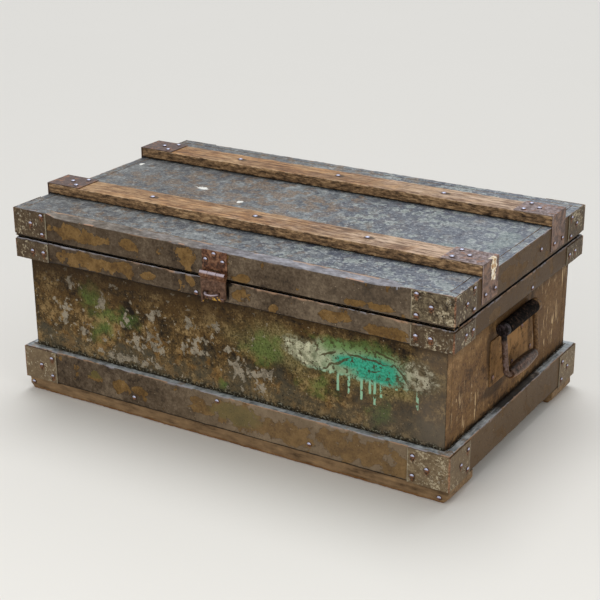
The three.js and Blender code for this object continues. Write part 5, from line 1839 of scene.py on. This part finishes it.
class CHEST_OT_add_handles(bpy.types.Operator):
    """Build the two drop handles: backplate and barrel, bail and grip"""

    bl_idname = "chest.add_handles"
    bl_label = "Handles"

    drop: length("Drop", "From the pivot down to the grip's axis", 86)
    width: length("Width", "Width over the bail's eyes", 145)
    lean: angle("Lean", "How far the bail leans out as it hangs", math.radians(5.8))
    bend: length("Bend", "Radius of the bail's two corners", 15)
    rod: length("Rod", "Radius of the bail's rod", 5.25)

    eye_width = 12 * MM
    eye_radius = 12 * MM
    stub = 26 * MM           # length of the pin from each eye into the barrel
    grip_end = 9 * MM        # radius of the grip at its ends
    grip_middle = 12.5 * MM
    grip_lap = 0.8 * MM      # how far each end reaches over the bail's corner
    plate_width = 184 * MM
    plate_top = 16 * MM
    plate_bottom = 102 * MM
    plate_thickness = 1.8 * MM
    plate_corner = 5 * MM    # radius of the plate's corners
    rounding = 1.2 * MM      # of the plate's, barrel's and grip's edges
    mesh_step = 4 * MM

    def eye_middle(self):
        return (self.width - self.eye_width) / 2

    def backplate(self):
        """The plate and its rolled barrel. The pivot is the origin and the wood is on the -X side."""
        face = -BARREL + self.plate_thickness
        half = self.plate_width / 2
        barrel_half = self.eye_middle() - self.eye_width / 2 - RUNNING_GAP
        plate = add_block("backplate", (-BARREL, -half, -self.plate_bottom), (face, half, -self.plate_top))
        for y in (-barrel_half, barrel_half):
            cut_through(plate, (0, y, 0), (0, 1, 0))
        extrude_faces(plate, lambda f: f.normal.z > 0.9 and abs(f.calc_center_median().y) < barrel_half,
                      0, 0, self.plate_top)
        round_edges(plate, self.plate_corner, 4,
                    lambda e: runs_along(e, 0) and abs(middle(e).y) > barrel_half + MM)
        round_edges(plate, self.rounding, 2, lambda e: middle(e).x > face - 0.1 * MM)
        slice_along(plate, self.mesh_step, 1, 2)
        barrel = add_rod("barrel", BARREL, 2 * barrel_half, (0, 0, 0), "Y", 36)
        round_edges(barrel, self.rounding, 3)
        slice_along(barrel, self.mesh_step, 1)
        return joined([plate, barrel])

    def bail(self):
        """The rod bent into three sides, with an eye at each end."""
        half = self.eye_middle()
        top = -self.eye_radius / 2
        arm = self.drop - self.bend + top
        corner = half - self.bend
        bends = [{"steps": 8, "angle": -math.pi / 2, "center": (0, y, top - arm), "axis": (1, 0, 0)}
                 for y in (-corner, corner)]
        rod = sweep("bail", self.rod, 18, (0, -half, top), (0, 0, 0),
                    [(0, 0, -arm), bends[0], (0, 2 * corner, 0), bends[1], (0, 0, arm)])
        slice_along(rod, 5 * MM, 0, 1, 2)
        pieces = [rod]
        for side in (-1, 1):
            eye = add_rod("eye", self.eye_radius, self.eye_width, (0, side * half, 0), "Y", 32)
            round_edges(eye, 1.6 * MM, 3)
            pieces.append(eye)
            y = side * (half - self.stub / 2)
            pieces.append(add_rod("stub", self.rod, self.stub, (0, y, 0), "Y", 18))
        return joined(pieces)

    def grip(self):
        """A sleeve on the lower bar that swells towards its middle."""
        half = self.eye_middle() - self.bend + self.grip_lap
        sleeve = add_rod("grip", self.grip_end, 2 * half, (0, 0, 0), "Y", 32)
        slice_along(sleeve, self.mesh_step, 1)
        open_shape(sleeve, "VERT")
        mesh = bmesh.from_edit_mesh(sleeve.data)
        for ring in sorted({round(v.co.y / MM, 2) for v in mesh.verts}):
            swell = 1 + (self.grip_middle / self.grip_end - 1) * math.cos(math.pi / 2 * ring * MM / half)
            pick(sleeve, lambda v: abs(v.co.y / MM - ring) < 0.1)
            bpy.ops.transform.resize(value=(swell, 1, swell), center_override=(0, ring * MM, 0))
        close_shape()
        round_edges(sleeve, self.rounding, 3, lambda e: abs(middle(e).y) > half - 0.1 * MM)
        return sleeve

    def seat(self, piece, node, place, finish_name, body, slot, nails=()):
        piece.name = f"{node}_iron"
        place_iron(piece, nails, place, finish_name, body, slot, node)

    def execute(self, context):
        face = -BARREL + self.plate_thickness
        nails = [((face, y * MM, z * MM), (1, 0, 0)) for y, z in BACKPLATE_NAILS]
        for end, flip, turn in (("left", -1, 180), ("right", 1, 0)):
            low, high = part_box(f"handle_plate_{end}")
            wall = low.x if end == "right" else high.x
            place = placing((wall + flip * BARREL, 0, high.z - BARREL), turn)
            leaning = place @ Matrix.Rotation(-self.lean, 4, "Y")
            lowered = leaning @ Matrix.Translation((0, 0, -self.drop))
            body = f"handle_{end}"
            self.seat(self.backplate(), f"handle_plate_{end}", place, "backplate", "chest", "handle_iron",
                      nails)
            self.seat(self.bail(), f"handle_bail_{end}", leaning, "handle", body, "handle_iron")
            self.seat(self.grip(), f"handle_grip_{end}", lowered, "grip", body, "grip_iron")
        return {"FINISHED"}


# The stage


def put(name, data):
    """A camera or lamp added to the scene."""
    made = bpy.data.objects.new(name, data)
    bpy.context.scene.collection.objects.link(made)
    return made


class CHEST_OT_set_stage(bpy.types.Operator):
    """Set the camera, the soft lamps and a plain pale floor"""

    bl_idname = "chest.set_stage"
    bl_label = "Stage"

    lamp_size = 1.6
    lamp_aim = (0, 0, 0.2)
    front_lamp = (-0.3, -2.5, 1.4)
    right_lamp = (2.4, -0.9, 1.2)
    right_share = 0.75    # of the front lamp's power
    warm_white = (1.0, 0.97, 0.92)
    cool_white = (0.97, 0.985, 1.0)
    floor_size = 60

    def camera(self, stage):
        data = bpy.data.cameras.new("camera")
        data.lens = stage.lens
        data.sensor_width = 36
        camera = put("camera", data)
        turned = Matrix.Rotation(stage.turn, 4, "Z") @ Matrix.Rotation(math.pi / 2 + stage.pitch, 4, "X")
        camera.matrix_world = Matrix.Translation(stage.eye) @ turned @ Matrix.Rotation(stage.roll, 4, "Z")
        bpy.context.scene.camera = camera

    def lamp(self, name, power, place):
        """A soft warm lamp that looks at the chest's middle."""
        data = bpy.data.lights.new(name, "AREA")
        data.energy = power
        data.size = self.lamp_size
        data.color = self.warm_white
        lamp = put(name, data)
        lamp.location = place
        sight = Vector(self.lamp_aim) - Vector(place)
        lamp.rotation_euler = sight.to_track_quat("-Z", "Y").to_euler()

    def top_light(self, stage):
        data = bpy.data.lights.new("top_light", "SUN")
        data.energy = stage.top_light
        data.angle = stage.top_spread
        data.color = self.cool_white
        put("top_light", data).rotation_euler = (-stage.top_tilt, -0.5 * stage.top_tilt, 0)

    def floor(self, stage):
        clear_selection()
        bpy.ops.mesh.primitive_plane_add(size=self.floor_size)
        floor = added("floor")
        f = Finish("pale_floor")
        pale = f.mix(f.noise(0.4, 3, 0.5) * 0.2, stage.floor_colour, (230, 228, 224))
        f.dress(pale, 0.7, f.noise(0.02, 3) * 0.05)
        floor.data.materials.append(f.material)

    def sky(self, stage):
        """Even light from all round, which looks brighter to the camera, in gloss and through glass."""
        world = bpy.data.worlds.new("sky")
        world.use_nodes = True
        nodes, links = world.node_tree.nodes, world.node_tree.links
        background = nodes["Background"]
        background.inputs["Color"].default_value = (1, 1, 1, 1)
        rays = nodes.new("ShaderNodeLightPath").outputs
        seen = rays["Is Camera Ray"]
        for kind in ("Is Glossy Ray", "Is Transmission Ray"):
            either = nodes.new("ShaderNodeMath")
            either.operation = "MAXIMUM"
            links.new(seen, either.inputs[0])
            links.new(rays[kind], either.inputs[1])
            seen = either.outputs[0]
        strength = nodes.new("ShaderNodeMath")
        strength.operation = "MULTIPLY_ADD"
        links.new(seen, strength.inputs[0])
        strength.inputs[1].default_value = stage.backdrop - stage.sky
        strength.inputs[2].default_value = stage.sky
        links.new(strength.outputs[0], background.inputs["Strength"])
        bpy.context.scene.world = world

    def execute(self, context):
        stage = context.scene.chest_stage
        self.camera(stage)
        self.top_light(stage)
        self.lamp("front_lamp", stage.side_lamp, self.front_lamp)
        self.lamp("right_lamp", self.right_share * stage.side_lamp, self.right_lamp)
        self.floor(stage)
        self.sky(stage)
        context.scene.view_settings.view_transform = "Standard"
        return {"FINISHED"}


BUILD_STEPS = (
    CHEST_OT_set_stage, CHEST_OT_add_carcass, CHEST_OT_add_bands, CHEST_OT_add_skids, CHEST_OT_add_lid,
    CHEST_OT_add_battens, CHEST_OT_add_corner_plates, CHEST_OT_add_batten_straps, CHEST_OT_add_hinges,
    CHEST_OT_add_hasp, CHEST_OT_add_handles,
)


class CHEST_PT_panel(bpy.types.Panel):
    """Lists the steps that build the chest"""

    bl_idname = "CHEST_PT_panel"
    bl_label = "Travelling Chest"
    bl_space_type = "VIEW_3D"
    bl_region_type = "UI"
    bl_category = "Chest"

    def draw(self, context):
        for step in BUILD_STEPS:
            self.layout.operator(step.bl_idname)


CLASSES = (ChestSizes, ChestColours, ChestStage, *BUILD_STEPS, CHEST_PT_panel)


def register():
    for cls in CLASSES:
        bpy.utils.register_class(cls)
    bpy.types.Scene.chest_sizes = PointerProperty(type=ChestSizes)
    bpy.types.Scene.chest_colours = PointerProperty(type=ChestColours)
    bpy.types.Scene.chest_stage = PointerProperty(type=ChestStage)


def unregister():
    del bpy.types.Scene.chest_stage
    del bpy.types.Scene.chest_colours
    del bpy.types.Scene.chest_sizes
    for cls in reversed(CLASSES):
        bpy.utils.unregister_class(cls)


def main():
    register()
    bpy.ops.chest.set_stage()
    bpy.ops.chest.add_carcass()
    bpy.ops.chest.add_bands()
    bpy.ops.chest.add_skids()
    bpy.ops.chest.add_lid()
    bpy.ops.chest.add_battens()
    bpy.ops.chest.add_corner_plates()
    bpy.ops.chest.add_batten_straps()
    bpy.ops.chest.add_hinges()
    bpy.ops.chest.add_hasp()
    bpy.ops.chest.add_handles()
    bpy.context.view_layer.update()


if __name__ == "__main__":
    main()
